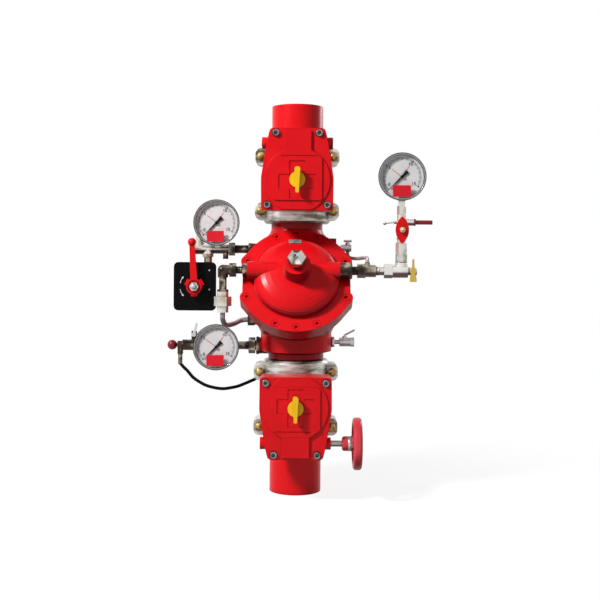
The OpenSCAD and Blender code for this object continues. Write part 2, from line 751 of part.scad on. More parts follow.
module outlet_cavity() {
    translate([0, 0, outlet_top_z]) cylinder(r = waterway_r, h = deluge_z1 - outlet_top_z + 1);
    translate([0, outlet_low_y, outlet_low_z]) cylinder(r = outlet_low_r, h = outlet_top_z - outlet_low_z + 1);
    in_cover_frame() difference() {
        translate([0, 0, chamber_floor_d]) cylinder(r = chamber_r, h = parting_d);
        translate([0, 0, chamber_floor_d - 1]) cylinder(r = seat_r + seat_wall, h = seat_d - chamber_floor_d + 1);
    }
}

module deluge_body() {
    color(red) difference() {
        deluge_outside();
        inlet_cavity();
        outlet_cavity();
        groove_cut(deluge_z0 + groove_offset);
        groove_cut(deluge_z1 - groove_offset - groove_w);
        in_cover_frame() {
            translate([0, 0, parting_d]) {
                cylinder(r = edge_r + 2, h = boss_h);
                at_cover_bolts([1, 7, 9, 15]) cylinder(r = lobe_r + 0.5, h = boss_h);
            }
            translate([0, 0, seat_d - 4]) cylinder(r = seat_r + 4, h = 5);
            translate([0, 0, parting_d - 15]) at_cover_bolts(cover_bolt_spots)
                cylinder(r = cover_bolt_r + touch_gap, h = 16);
        }
    }
}

module seat_ring() {
    color(brass) in_cover_frame() translate([0, 0, seat_d - 4]) difference() {
        cylinder(r = seat_r + 4 - touch_gap, h = 5);
        translate([0, 0, -1]) cylinder(r = seat_r - 1, h = 7);
    }
}

clapper_d0 = seat_d + 1 + 0.3;
clapper_t = 9;
clapper_hub_t = 6;
guide_r = 11;
guide_floor = 8;
guide_end_d = boss_front_d - guide_floor - 1 - clapper_travel;

module clapper() {
    color(steel) in_cover_frame() translate([0, 0, clapper_d0]) {
        cylinder(r = seat_r + 6, h = clapper_t);
        cylinder(r = 26, h = clapper_t + clapper_hub_t);
        cylinder(r = guide_r, h = guide_end_d - clapper_d0);
    }
}

// The rubber reaches from the clapper's edge to a rim clamped under the cover
module diaphragm() {
    root_r = seat_r + 6.3;
    root_d = clapper_d0 + 3;
    color(rubber) in_cover_frame() rotate_extrude() polygon([
        [root_r, root_d], [root_r + 10, root_d + 2], [chamber_r - 12, parting_d - 3], [chamber_r - 0.4, parting_d],
        [rim_r, parting_d], [rim_r, parting_d + rim_t],
        [chamber_r - 2, parting_d + rim_t], [chamber_r - 16, parting_d], [root_r + 9, root_d + 5.5], [root_r, root_d + 4]]);
}

module clapper_spring() {
    turns = 4;
    steps = 12;
    coil_r = 20;
    wire_r = 1.8;
    from_d = clapper_d0 + clapper_t + clapper_hub_t + wire_r + 0.3;
    to_d = dome_top_d - 18;
    path = [for (i = [0:turns * steps]) let (a = 360 * i / steps)
        [coil_r * cos(a), coil_r * sin(a), from_d + (to_d - from_d) * i / (turns * steps)]];
    color(steel) in_cover_frame() swept_tube(path, wire_r, 6, [1, 0, 0]);
}

// Curve of the dome: steep at the foot, flat at the top
function dome_curve(r, h) = [for (a = [0:10:90]) [r * pow(cos(a), 0.72), cover_front_d + h * pow(sin(a), 0.72)]];

// Cover: lobed flange, soft dome, level port bosses and a central boss for the plug
module deluge_cover() {
    wall = 9;
    front = cover_front_d;
    color(red) difference() {
        union() {
            in_cover_frame() {
                translate([0, 0, parting_d]) lobed_flange(cover_flange_t);
                rotate_extrude() polygon(concat([[0, parting_d + 1], [dome_r, parting_d + 1]],
                    dome_curve(dome_r, dome_h)));
                translate([0, 0, front]) cylinder(r = boss_r, h = boss_h);
            }
            rod([port_left_x, port_y, port_z], [port_right_x, port_y, port_z], port_boss_r);
        }
        in_cover_frame() {
            rotate_extrude() polygon(concat([[0, parting_d - 1], [dome_r - wall, parting_d - 1]],
                dome_curve(dome_r - wall, dome_h - wall - 3)));
            translate([0, 0, parting_d - 1]) cylinder(r = rim_r + 0.5, h = 1 + rim_t);
            cylinder(r = guide_r + run_gap, h = boss_front_d - guide_floor);
            cylinder(r = 10 + touch_gap, h = boss_front_d + 1);
            at_cover_bolts(cover_bolt_spots) {
                cylinder(r = cover_bolt_r + 0.5, h = 2 * front);
                translate([0, 0, front - head_sink]) cylinder(r = recess_r, h = 60);
            }
        }
        rod([port_left_x - 1, port_y, port_z], [-port_bore_end, port_y, port_z], port_bore_r);
        rod([port_bore_end, port_y, port_z], [port_right_x + 1, port_y, port_z], port_bore_r);
    }
}

module cover_bolts() {
    head_d = cover_front_d - head_sink;
    color(steel) in_cover_frame() at_cover_bolts(cover_bolt_spots) difference() {
        union() {
            translate([0, 0, parting_d - 13]) cylinder(r = cover_bolt_r, h = head_d - parting_d + 13);
            translate([0, 0, head_d]) cylinder(r = head_r, h = head_sink);
        }
        translate([0, 0, head_d + 4]) cylinder(r = 4.6, h = 6, $fn = 6);
    }
}

module cover_plug() {
    hex_r = 19;
    color(steel) in_cover_frame() translate([0, 0, boss_front_d]) {
        translate([0, 0, 1 - guide_floor]) cylinder(r = 10, h = guide_floor - 1);
        cylinder(r = 14, h = 3);
        translate([0, 0, 3]) cylinder(r = 11, h = 4);
        translate([0, 0, 7]) cylinder(r = hex_r, h = 14, $fn = 6);
        translate([0, 0, 21]) cylinder(r1 = hex_r, r2 = 2, h = 14, $fn = 6);
    }
}

// Pressure gauge, drawn face on about its dial centre, back of the case at z = 0
module gauge_case() {
    difference() {
        union() {
            cylinder(r = gauge_r - 2, h = gauge_depth);
            translate([0, 0, gauge_depth - 9]) cylinder(r = gauge_r, h = 9);
        }
        translate([0, 0, gauge_wall]) cylinder(r = glass_r - 1.5, h = gauge_depth);
        translate([0, 0, gauge_depth - glass_sink]) cylinder(r = glass_r + touch_gap, h = gauge_depth);
        translate([0, 0, gauge_wall - 3]) cylinder(r = 1 + run_gap, h = 4);
    }
}

module gauge_dial() {
    translate([0, 0, gauge_wall]) difference() {
        cylinder(r = glass_r - 1.7, h = dial_t);
        translate([0, 0, -1]) cylinder(r = 2, h = 3);
    }
}

module gauge_glass() { translate([0, 0, gauge_depth - glass_sink]) cylinder(r = glass_r, h = glass_t); }

module gauge_pointer() {
    zero = 225;
    lift = gauge_wall + 2.5;
    reach = glass_r - 11;
    translate([0, 0, gauge_wall - 2.5]) cylinder(r = 1, h = lift - gauge_wall + 3.5);
    translate([0, 0, lift]) cylinder(r = 3.5, h = 3);
    rotate([0, 0, zero]) translate([0, 0, lift]) linear_extrude(1)
        polygon([[-16, -4.5], [0, -2], [reach, -0.5], [reach, 0.5], [0, 2], [-16, 4.5]]);
}

module at_alarm_gauge() { translate([alarm_gauge_x, -alarm_gauge_back, alarm_gauge_z]) face_on() children(); }
module at_supply_gauge() { translate([supply_gauge_x, -supply_gauge_back, supply_line_z]) face_on() children(); }
module at_release_gauge() {
    translate([riser_reach, port_y + gauge_depth / 2, release_gauge_z]) face_on() children();
}

stem_half = 7;
stem_reach = 11;

module stem_block(z0, z1, drop) {
    translate([-stem_half, -drop - stem_half, z0]) cube([2 * stem_half, 2 * stem_half, z1 - z0]);
}

module gauge_cases() {
    color(steel) {
        at_alarm_gauge() {
            gauge_case();
            stem_block(alarm_line_y - 10 + alarm_gauge_back - 10, 0, back_stem_drop);
        }
        at_supply_gauge() {
            gauge_case();
            stem_block(-10, 0, 0);
        }
        at_release_gauge() {
            gauge_case();
            translate([-stem_half, -gauge_r - stem_reach, gauge_depth / 2 - stem_half])
                cube([2 * stem_half, stem_reach + 5, 2 * stem_half]);
        }
    }
}

module gauge_dials() {
    color("white") {
        at_alarm_gauge() gauge_dial();
        at_supply_gauge() gauge_dial();
        at_release_gauge() gauge_dial();
    }
}

module gauge_glasses() {
    color([0.9, 0.95, 1, 0.3]) {
        at_alarm_gauge() gauge_glass();
        at_supply_gauge() gauge_glass();
        at_release_gauge() gauge_glass();
    }
}

module alarm_gauge_pointer() { color(black) at_alarm_gauge() gauge_pointer(); }
module supply_gauge_pointer() { color(black) at_supply_gauge() gauge_pointer(); }
module release_gauge_pointer() { color(black) at_release_gauge() gauge_pointer(); }

// Alarm cock behind its plate, with the lever in front
lever_y = plate_y - plate_t - 6;
lever_t = 12;
spindle_r = 5;
cock_neck_z = cock_z + 38.5;

module at_cock() { translate([cock_x, 0, cock_z]) children(); }

module alarm_cock_body() {
    color(brass) difference() {
        union() {
            translate([cock_x - 18, -cock_front, cock_z - 24]) cube([50, 50, 48]);
            at_cock() face_on() translate([0, 0, cock_front - 12]) cylinder(r = 16, h = -plate_y - cock_front + 12);
            rod([down_x, alarm_line_y, cock_z], [down_x, alarm_line_y, cock_neck_z], 11.5);
            hex_rod([cock_x - 18, alarm_line_y, cock_z], [cock_x - 28, alarm_line_y, cock_z], 22);
        }
        at_cock() face_on() translate([0, 0, 30]) cylinder(r = spindle_r + run_gap, h = 60);
    }
}

module alarm_plate() {
    color(black) translate([0, plate_y, 0]) at_cock() face_on() difference() {
        linear_extrude(plate_t) polygon(rounded(
            [[plate_w / 2, plate_h / 2], [-plate_w / 2, plate_h / 2], [-plate_w / 2, -plate_h / 2],
                [plate_w / 2, -plate_h / 2]], [10, 10, 10, 10]));
        translate([0, 0, -1]) cylinder(r = spindle_r + 1, h = plate_t + 2);
    }
}

module alarm_lever() {
    lean = 3.5;
    color(red) translate([0, lever_y, 0]) at_cock() face_on() {
        difference() {
            union() {
                cylinder(r = 17, h = lever_t);
                for (turn = [150, 30, -90]) rotate([0, 0, turn]) translate([12, -7, 0]) cube([9, 14, lever_t - 3]);
            }
            translate([0, 0, lever_t - 3]) difference() {
                cylinder(r = 13.5, h = 4);
                translate([0, 0, -1]) cylinder(r = 9, h = 6);
            }
        }
        rotate([0, 0, lean]) {
            translate([0, 0, 2]) linear_extrude(lever_t - 4)
                polygon([[-8, 0], [8, 0], [5.5, alarm_lever_len - 4], [-5.5, alarm_lever_len - 4]]);
            translate([0, alarm_lever_len, lever_t / 2]) sphere(r = 9);
        }
        translate([0, 0, -34]) cylinder(r = spindle_r, h = 35);
        translate([0, 0, lever_t - 1]) cylinder(r = spindle_r, h = 8);
    }
}

module alarm_lever_nut() {
    color(steel) translate([0, lever_y - lever_t, 0]) at_cock() face_on() difference() {
        cylinder(r = 10, h = 6, $fn = 6);
        translate([0, 0, -1]) cylinder(r = spindle_r + touch_gap, h = 8);
    }
}

// Alarm line: from the bulb's upper left to the gauge and down to the alarm cock
module alarm_line() {
    y = alarm_line_y;
    z = alarm_line_z;
    gx = alarm_gauge_x;
    tee_x = down_x + 10;
    top_x = cock_x + 4;
    pipe_x = -151;
    color(steel) {
        fittings([-99, y, z], [-1, 0, 0], [[8, 24, 6], [30, trim_r], [14, 25, 6]]);
        run([pipe_x, y, z], [tee_x, y, z], 10.5);
        rod([pipe_x - 7, y, z], [pipe_x - 7, y, z - 22], 6);
        difference() {
            hex_rod([gx, y, z + 3], [gx, y, alarm_gauge_z - back_stem_drop + 12], 20);
            rod([pipe_x + 1, y, z], [tee_x - 1, y, z], 10.5 + touch_gap);
        }
        run([tee_x, y, z], [cock_x - 6, y, z], 12);
        fittings([down_x, y, z], [0, 0, -1], [[18, 12], [z - 18 - cock_neck_z, trim_r]]);
        fittings([top_x, y, z], [0, 0, 1], [[16, 11], [20, 8], [14, 18, 6]]);
    }
}

// Priming line: from the cover's left port down to the bulb's lower left
module priming_line() {
    y = port_y;
    z = port_z;
    x = priming_x;
    elbow_x = port_left_x - 37.5;
    color(steel) {
        fittings([port_left_x, y, z], [-1, 0, 0], [[9.7, 24, 6], [13.3, 7.5], [14.5, 25, 6]]);
        rod([elbow_x, y, z], [x, y, z], 10.5);
        translate([x, y, z]) sphere(r = 11);
        fittings([x, y, z], [0, 0, -1], [[16, 11], [25, 8], [15, 12], [20, 32, 6]]);
        rod([x, y, z - 76], [x, y, priming_foot_z], 12);
        hex_rod(body_port + [15.5, 0, 0], body_port, 22);
    }
}

// Supply line: from the inlet chamber's left to the gauge, the test cock and the needle valve
module supply_line() {
    z = supply_line_z;
    gx = supply_gauge_x;
    tx = test_cock_x;
    nx = needle_x;
    cock_x0 = tx + 8;
    needle_x0 = nx + 5;
    color(steel) {
        fittings([-82, 0, z], [-1, 0, 0], [[7, 34, 6], [2, 11], [15, 31, 6], [51, trim_r], [36, 12]]);
        rod([gx, 0, z], [gx, 10 - supply_gauge_back, z], 11);
        run([-193, 0, z], [cock_x0, 0, z], trim_r);
    }
    color(brass) {
        difference() {
            union() {
                run([cock_x0, 0, z], [needle_x0, 0, z], 12);
                rod([tx, 0, z], [tx, 0, test_cock_z + 7], 6.5);
            }
            rod([tx, 1, test_cock_z], [tx, -20, test_cock_z], 2.5 + run_gap);
        }
        difference() {
            union() {
                rod([needle_x0, 0, z], [nx - 6, 0, z], 9);
                rod([nx, 0, z], [nx, 0, z - 20], 6.5);
                rod([nx, 0, z - 19], [nx, 0, hose_start_z], 5);
            }
            rod([nx + 2, 0, z], [nx - 8, 0, z], 3 + run_gap);
        }
    }
}

// Path of the drain hose, from under the needle valve round to the back of the inlet chamber
hose_start_z = supply_line_z - 32;
hose_points = [[needle_x, 0, hose_start_z], [needle_x, 0, hose_start_z - 8],
    [needle_x + 6.5, 1, hose_start_z - 17], [-243, 4, hose_start_z - 26.7],
    [-231.6, 9, hose_start_z - 41.2], [-217.7, 13, hose_start_z - 52], [-202, 18, hose_start_z - 61],
    [-183.6, 23, hose_start_z - 66.7], [-165, 28.5, hose_start_z - 69.6], [-147.8, 34, hose_start_z - 68],
    [-131.4, 40, hose_start_z - 65], [-109.5, 48, hose_start_z - 57], [-86, 60, hose_start_z - 47],
    [-64, 75, hose_start_z - 33], [-50, 88, hose_start_z - 15], [-43, 95, hose_start_z + 2],
    [hose_port[0], hose_port[1], hose_port[2] - 27]];

module drain_hose() {
    color(black) swept_tube(smooth_path(hose_points, 3), hose_r, 8, [0, 1, 0]);
}

// Rigid tubes: priming tube into the bulb, and the thin vent tube into the release line
vent_foot = [149, port_y, port_z + 18.5];
priming_path = [[priming_x, port_y, priming_foot_z], [priming_x, port_y, priming_foot_z - 4],
    [priming_x, port_y + 2, priming_foot_z - 14], [priming_x + 3, port_y + 14, body_port[2] - 4],
    [-147, port_y + 34, body_port[2] - 8], [-135, -68, body_port[2] - 7], [-123, -46, body_port[2] - 2],
    [-113, -40.5, body_port[2]], [-109, -40, body_port[2]], body_port - [touch_gap, 0, 0]];
vent_path = [[vent_x, 0, vent_z - 8.05], [vent_x, 0, vent_z - 11], [vent_x + 0.6, -3, vent_z - 15],
    [vent_x + 2, -9, vent_z - 18.5], [120, -24, vent_z - 22],
    [132, -62, vent_z - 23], [143, -105, vent_z - 21], vent_foot + [-0.4, 3, 9],
    vent_foot + [0, 0, 3], vent_foot];

module trim_tubes() {
    color(steel) {
        swept_tube(smooth_path(priming_path, 4), tube_r, 10, [0, 1, 0]);
        swept_tube(smooth_path(vent_path, 3), vent_tube_r, 8, [1, 0, 0]);
    }
}

// Release line: from the cover's right port to the check valve, tee, gauge valve and gauge
module release_line() {
    y = port_y;
    z = port_z;
    gx = riser_reach;
    tee_x = gx - 18.5;
    nipple_x = 166.7;
    foot = release_gauge_z - gauge_r - stem_reach;
    color(steel) {
        fittings([port_right_x, y, z], [1, 0, 0], [[25.6, 30, 6], [10.6, trim_r], [17.4, 26, 6], [21.7, 13]]);
        rod([vent_foot[0], y, z + 5], vent_foot, 5.5);
        fittings([nipple_x, y, z], [1, 0, 0], [[tee_x - 17.9 - nipple_x, trim_r], [17.9, 26, 6], [32.2, 14]]);
        fittings([gx, y, z], [0, 0, 1], [[18, 13], [20, 11], [22, 21, 6]]);
        difference() {
            union() {
                run([gx, y, z + 60], [gx, y, foot - 18], 9.5);
                rod([gx, y, gauge_valve_z], [gx, y - 15, gauge_valve_z], 7);
                rod([gx, y, bleed_z], [gx + 26, y, bleed_z], 7);
                rod([gx, y, bleed_z], [gx - 16, y, bleed_z], 3.5);
            }
            rod([gx, y - 3, gauge_valve_z], [gx, y - 30, gauge_valve_z], 3 + run_gap);
            rod([gx + 12, y, bleed_z], [gx + 40, y, bleed_z], 2.5 + run_gap);
        }
        rod([gx - 15, y, bleed_z], [gx - 32, y, bleed_z - 2], 1.6);
        translate([gx - 35, y, bleed_z - 2]) sphere(r = 4);
        hex_rod([gx, y, foot - 18], [gx, y, foot], 17);
    }
    color(brass) difference() {
        union() {
            rod([tee_x + 32.2, y, z], [petcock_x + 9, y, z], 8.5);
            rod([petcock_x, y, z], [petcock_x, y - 16, z], 7);
        }
        rod([petcock_x, y - 2, z], [petcock_x, y - 20, z], 3 + run_gap);
    }
}

// Levers and knobs of the small valves
module gauge_valve_handle() {
    color(red) translate([riser_reach, port_y - 16, gauge_valve_z]) face_on() {
        linear_extrude(4) intersection() {
            translate([22, 0]) circle(r = 36);
            translate([-22, 0]) circle(r = 36);
        }
        translate([0, 0, -12]) cylinder(r = 3, h = 13);
        translate([0, 0, 4]) cylinder(r = 6, h = 5, $fn = 6);
    }
}

module bleed_lever() {
    x0 = riser_reach + 26;
    color(red) {
        rod([x0 - 10, port_y, bleed_z], [x0 + 6, port_y, bleed_z], 2.5);
        rod([x0 + 0.3, port_y, bleed_z], [x0 + 3.5, port_y, bleed_z], 7.5);
        rod([x0 + 3.5, port_y, bleed_z], [x0 + 39, port_y, bleed_z], 4.6);
    }
}

module petcock_handle() {
    color(yellow) translate([petcock_x, port_y - 16.3, port_z]) face_on() {
        translate([0, 0, -12]) cylinder(r = 3, h = 13);
        cylinder(r = 6.5, h = 4);
        linear_extrude(3) polygon([[-3, 0], [3, 0], [2, 26], [-2, 26]]);
        linear_extrude(4) polygon([[-3, 0], [3, 0], [7, -14], [7, -22], [-7, -22], [-7, -14]]);
    }
}

module test_cock_lever() {
    color(steel) translate([test_cock_x, -6.8, test_cock_z]) face_on() {
        translate([0, 0, -5]) cylinder(r = 2.5, h = 6);
        cylinder(r = 5, h = 4);
        rotate([0, 0, -14]) linear_extrude(3) polygon([[-3, 0], [3, 0], [2.2, 26], [-2.2, 26]]);
    }
}

module supply_knob() {
    color(red) {
        rod([needle_x, 0, supply_line_z], [needle_x - 10, 0, supply_line_z], 3);
        translate([needle_x - 18, 0, supply_line_z]) sphere(r = 11);
    }
}

module small_cock_bodies() {
    color(steel) {
        difference() {
            union() {
                run([vent_boss_x, 0, vent_z], [98, 0, vent_z], 5);
                rod([98, 0, vent_z], [122, 0, vent_z], 8);
                rod([vent_x, 0, vent_z], [vent_x, 0, vent_z + 12], 5.5);
            }
            rod([vent_x, 0, vent_z + 2], [vent_x, 0, vent_z + 20], 2.5 + run_gap);
        }
        difference() {
            union() {
                hex_run([81, 0, drain_z], [86, 0, drain_z], 20);
                run([86, 0, drain_z], [97, 0, drain_z], 5);
                run([97, 0, drain_z], [122, 0, drain_z], 10);
                hex_rod([122, 0, drain_z], [130, 0, drain_z], 18);
                rod([drain_x, 0, drain_z], [drain_x, 0, drain_z + 13], 5.5);
            }
            rod([drain_x, 0, drain_z + 3], [drain_x, 0, drain_z + 30], 2.5 + run_gap);
        }
        translate(hose_port) {
            hex_run([0, -17, 0], [0, -9, 0], 22);
            rod([0, -9, 0], [0, 6, 0], 8);
            rod([0, 0, 0], [0, 0, -27], 5.5);
        }
    }
}

module vent_handle() {
    color(steel) {
        rod([vent_x, 0, vent_z + 5], [vent_x, 0, vent_z + 15.5], 2.4);
        rod([vent_x - 9, 0, vent_z + 16], [vent_x + 9, 0, vent_z + 16], 2.7);
    }
}

module drain_lever() {
    color(steel) {
        rod([drain_x, 0, drain_z + 5], [drain_x, 0, drain_z + 17], 2.5);
        rod([drain_x, 0, drain_z + 15.5], [drain_x + 22, 0, drain_z + 27], 2.2);
    }
}

inlet_pipe();
outlet_pipe();
coupling_front_halves();
coupling_rear_halves();
coupling_gaskets();
coupling_bolts();
coupling_nuts();
lower_valve_body();
lower_valve_disc();
lower_valve_stem();
lower_gear_housing();
lower_gear_cover();
lower_sector_gear();
lower_worm_shaft();
lower_indicator();
upper_valve_body();
upper_valve_disc();
upper_valve_stem();
upper_gear_housing();
upper_gear_cover();
upper_sector_gear();
upper_worm_shaft();
upper_indicator();
valve_liners();
gear_cover_screws();
handwheel();
handwheel_nut();
deluge_body();
seat_ring();
clapper();
diaphragm();
clapper_spring();
deluge_cover();
cover_bolts();
cover_plug();
gauge_cases();
gauge_dials();
gauge_glasses();
alarm_gauge_pointer();
supply_gauge_pointer();
release_gauge_pointer();
alarm_cock_body();
alarm_plate();
alarm_lever();
alarm_lever_nut();
alarm_line();
priming_line();
supply_line();
release_line();
trim_tubes();
test_cock_lever();
supply_knob();
gauge_valve_handle();
bleed_lever();
petcock_handle();
small_cock_bodies();
vent_handle();
drain_lever();
drain_hose();
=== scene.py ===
"""Looks of the deluge valve: camera, light, materials and the fine pieces that the CAD model leaves out."""
import json
import math

import bmesh
import bpy
from mathutils import Matrix, Vector


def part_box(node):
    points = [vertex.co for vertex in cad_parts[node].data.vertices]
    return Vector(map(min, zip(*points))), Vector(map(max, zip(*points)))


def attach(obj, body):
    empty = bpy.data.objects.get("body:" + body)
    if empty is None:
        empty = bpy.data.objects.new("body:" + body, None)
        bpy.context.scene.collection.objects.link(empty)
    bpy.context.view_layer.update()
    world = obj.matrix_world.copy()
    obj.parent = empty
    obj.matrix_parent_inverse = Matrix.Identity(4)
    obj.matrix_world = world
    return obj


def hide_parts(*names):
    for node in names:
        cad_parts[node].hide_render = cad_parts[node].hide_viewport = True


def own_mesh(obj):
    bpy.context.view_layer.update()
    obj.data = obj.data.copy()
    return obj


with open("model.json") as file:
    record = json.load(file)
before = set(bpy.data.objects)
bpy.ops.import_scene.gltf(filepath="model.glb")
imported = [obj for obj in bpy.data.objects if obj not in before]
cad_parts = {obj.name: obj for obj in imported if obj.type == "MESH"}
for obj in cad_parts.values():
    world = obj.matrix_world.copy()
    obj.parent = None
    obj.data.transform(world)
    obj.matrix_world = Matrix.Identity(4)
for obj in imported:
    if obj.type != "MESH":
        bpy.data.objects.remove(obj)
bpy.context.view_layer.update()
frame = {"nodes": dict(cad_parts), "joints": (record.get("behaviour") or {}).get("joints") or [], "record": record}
scene = bpy.context.scene

# Camera, at the photograph's distance and height, with its small roll
CAMERA_DISTANCE = 2.2
CAMERA_HEIGHT = 0.525
CAMERA_ROLL = -0.0077
FOCAL_PIXELS = 982
IMAGE_PIXELS = 600
SHIFT_PIXELS = (3.3, -45)
SENSOR = 36.0

# Light: a lamp high at the front left, a weaker one behind, and a dim room
LIGHT_TARGET = (0, 0, 0.43)
KEY_PLACE = (-1.86, -1.54, 2.22)
KEY_SIZE = 0.50
KEY_POWER = 96
BACK_PLACE = (1.9, 1.7, 1.5)
BACK_SIZE = 1.2
BACK_POWER = 24
ROOM_LIGHT = 0.17
WHITE = (1, 1, 1)

# Floor: what it throws back, and how it is seen, out to the distances where the shadow fades
FLOOR_HALF = 4
FLOOR_BOUNCE = (0.50, 0.50, 0.50)
FLOOR_SHADOW = (0.24, 0.24, 0.24)
FLOOR_GLOW = 0.84
FADE_START = 0.25
FADE_END = 0.95

# Directions
RIGHT = (1, 0, 0)
LEFT = (-1, 0, 0)
FRONT = (0, -1, 0)
UP = (0, 0, 1)
DOWN = (0, 0, -1)
ACROSS = Vector(RIGHT)

# Places, in metres, worked out from the frame's joints and boxes
JOINTS = {joint["name"]: joint for joint in frame["joints"]}


def pivot(joint):
    """Point that the joint turns about."""
    return JOINTS[joint]["pos_m"]


def front(node):
    """Depth of the node's front, as a round number: a box is read from single-precision vertices."""
    return round(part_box(node)[0][1], 5)


RISER_X, PORT_Y, GAUGE_VALVE_Z = pivot("gauge_valve_turn")
PORT_Z = pivot("petcock_turn")[2]
RISER_NUT_Z = PORT_Z + 0.01822
RISER_RING_Z = PORT_Z + 0.06732
SUPPLY_Z = pivot("supply_valve_turn")[2]
COCK_X, _, COCK_Z = pivot("alarm_lever_turn")
ALARM_Y = -0.015
ALARM_Z = COCK_Z + 0.0815
PLATE_FRONT = front("alarm_plate")
HOSE_BARB = (-0.259, 0, SUPPLY_Z - 0.032)
REAR_BARB = (-0.042, 0.097, SUPPLY_Z - 0.015)

# The threads, the nut and the ring on the front ports stand a millimetre in front of the ports' axis
TRIM_Y = PORT_Y - 0.001

# Gauges: steps of the case, from its back
DIAL_FRONT = 0.021
POINTER_FRONT = 0.0255
GLASS_FRONT = 0.0295
RING_OUTSIDE = 0.0484
RING_INSIDE = 0.0474


def gauge_centre(gauge):
    """Middle of the gauge at the back of its case."""
    x, _, z = pivot(gauge + "_pointer_sweep")
    return (x, front(gauge + "_gauge_pointer") + POINTER_FRONT, z)


GAUGES = {gauge: gauge_centre(gauge) for gauge in ("alarm", "supply", "release")}

# Slanted axis of the deluge valve's cover, along which the clapper lifts
COVER_MIDDLE = Vector((0, 0, 0.404))
COVER_OUT = Vector(JOINTS["clapper_lift"]["axis"])
COVER_UP = COVER_OUT.cross(ACROSS)


def set_camera():
    data = bpy.data.cameras.new("camera")
    data.sensor_width = SENSOR
    data.lens = FOCAL_PIXELS / IMAGE_PIXELS * SENSOR
    data.shift_x = SHIFT_PIXELS[0] / IMAGE_PIXELS
    data.shift_y = SHIFT_PIXELS[1] / IMAGE_PIXELS
    camera = bpy.data.objects.new("camera", data)
    camera.location = (0, -CAMERA_DISTANCE, CAMERA_HEIGHT)
    camera.rotation_euler = (math.pi / 2, CAMERA_ROLL, 0)
    scene.collection.objects.link(camera)
    scene.camera = camera


# Shader nodes
def feed(tree, value, socket):
    """Link another node's output to the socket, or write a constant: three numbers for a colour."""
    if isinstance(value, bpy.types.NodeSocket):
        tree.links.new(value, socket)
    elif socket.type == "RGBA":
        socket.default_value = (*value, 1)
    else:
        socket.default_value = value


def set_sockets(tree, node, values):
    """Feed the node's inputs, each by its name or number."""
    for key, value in values.items():
        feed(tree, value, node.inputs[key])
    return node


def maths(tree, operation, *values, clamp=False):
    node = tree.nodes.new("ShaderNodeMath")
    node.operation = operation
    node.use_clamp = clamp
    return set_sockets(tree, node, dict(enumerate(values))).outputs[0]


def vector_maths(tree, operation, *values):
    node = tree.nodes.new("ShaderNodeVectorMath")
    node.operation = operation
    return set_sockets(tree, node, dict(enumerate(values)))


def map_range(tree, value, start, end, low=0.0, high=1.0):
    """The value's place between start and end, clamped, as a number from low to high."""
    values = {"Value": value, "From Min": start, "From Max": end, "To Min": low, "To Max": high}
    return set_sockets(tree, tree.nodes.new("ShaderNodeMapRange"), values).outputs["Result"]


def mix_shaders(tree, fac, first, second):
    values = {"Fac": fac, 1: first.outputs[0], 2: second.outputs[0]}
    return set_sockets(tree, tree.nodes.new("ShaderNodeMixShader"), values)


def blend_colours(tree, fac, first, second):
    node = tree.nodes.new("ShaderNodeMix")
    node.data_type = "RGBA"
    set_sockets(tree, node, {"Factor": fac, 6: first, 7: second})
    return node.outputs[2]


def object_place(tree):
    return tree.nodes.new("ShaderNodeTexCoord").outputs["Object"]


def surface_normal(tree):
    return tree.nodes.new("ShaderNodeNewGeometry").outputs["Normal"]


def split_axes(tree, vector):
    return set_sockets(tree, tree.nodes.new("ShaderNodeSeparateXYZ"), {0: vector}).outputs


def noise(tree, scale, detail=3.0, roughness=0.5, vector=None):
    """Noise from 0 to 1, at the object's own places unless another vector is given."""
    if vector is None:
        vector = object_place(tree)
    values = {"Vector": vector, "Scale": scale, "Detail": detail, "Roughness": roughness}
    return set_sockets(tree, tree.nodes.new("ShaderNodeTexNoise"), values).outputs["Fac"]


def ramp(tree, fac, stops):
    node = set_sockets(tree, tree.nodes.new("ShaderNodeValToRGB"), {"Fac": fac})
    items = node.color_ramp.elements
    for item, (place, colour) in zip(items, (stops[0], stops[-1])):
        item.position = place
        item.color = (*colour, 1)
    for place, colour in stops[1:-1]:
        items.new(place).color = (*colour, 1)
    return node.outputs["Color"]


# Usual range of a noise, and the range of the occlusion over which painted shade, standing also for grime, darkens
# a colour in hollows
NOISE_RANGE = (0.3, 0.7)
HOLLOW_SHADE_RANGE = (0.30, 0.85)
BEVEL_SAMPLES = 6
HOLLOW_SHADE_SAMPLES = 8


def spread(tree, fac, low, high):
    """The noise `fac`, spread over its usual range from low to high."""
    return map_range(tree, fac, *NOISE_RANGE, low, high)


def between(low, high):
    """Stops of a ramp that goes from one colour to the other over a noise's usual range."""
    return list(zip(NOISE_RANGE, (low, high)))


def bump(tree, height, strength, distance, bevel):
    """Normal with the height's relief, on edges rounded by the radius `bevel`."""
    rounding = set_sockets(tree, tree.nodes.new("ShaderNodeBevel"), {"Radius": bevel})
    rounding.samples = BEVEL_SAMPLES
    relief = tree.nodes.new("ShaderNodeBump")
    feed(tree, rounding.outputs["Normal"], relief.inputs["Normal"])
    set_sockets(tree, relief, {"Strength": strength, "Distance": distance, "Height": height})
    return relief.outputs["Normal"]


def hollow_shade_and_grime(tree, colour, shade, distance):
    """Painted shade and grime: the colour, darkened to its share `shade` in corners and recesses within the
    distance.
    """
    hollow = set_sockets(tree, tree.nodes.new("ShaderNodeAmbientOcclusion"), {"Distance": distance})
    hollow.samples = HOLLOW_SHADE_SAMPLES
    level = map_range(tree, hollow.outputs["AO"], *HOLLOW_SHADE_RANGE, low=shade)
    darker = vector_maths(tree, "SCALE", colour)
    feed(tree, level, darker.inputs["Scale"])
    return darker.outputs["Vector"]


def shade_below(tree, colour, tint, start, end, amount):
    """Painted shade: the colour, with a darker tint on the faces that look down; start and end are the normal's
    heights.
    """
    below = map_range(tree, split_axes(tree, surface_normal(tree))["Z"], start, end, high=amount)
    return blend_colours(tree, below, colour, tint)


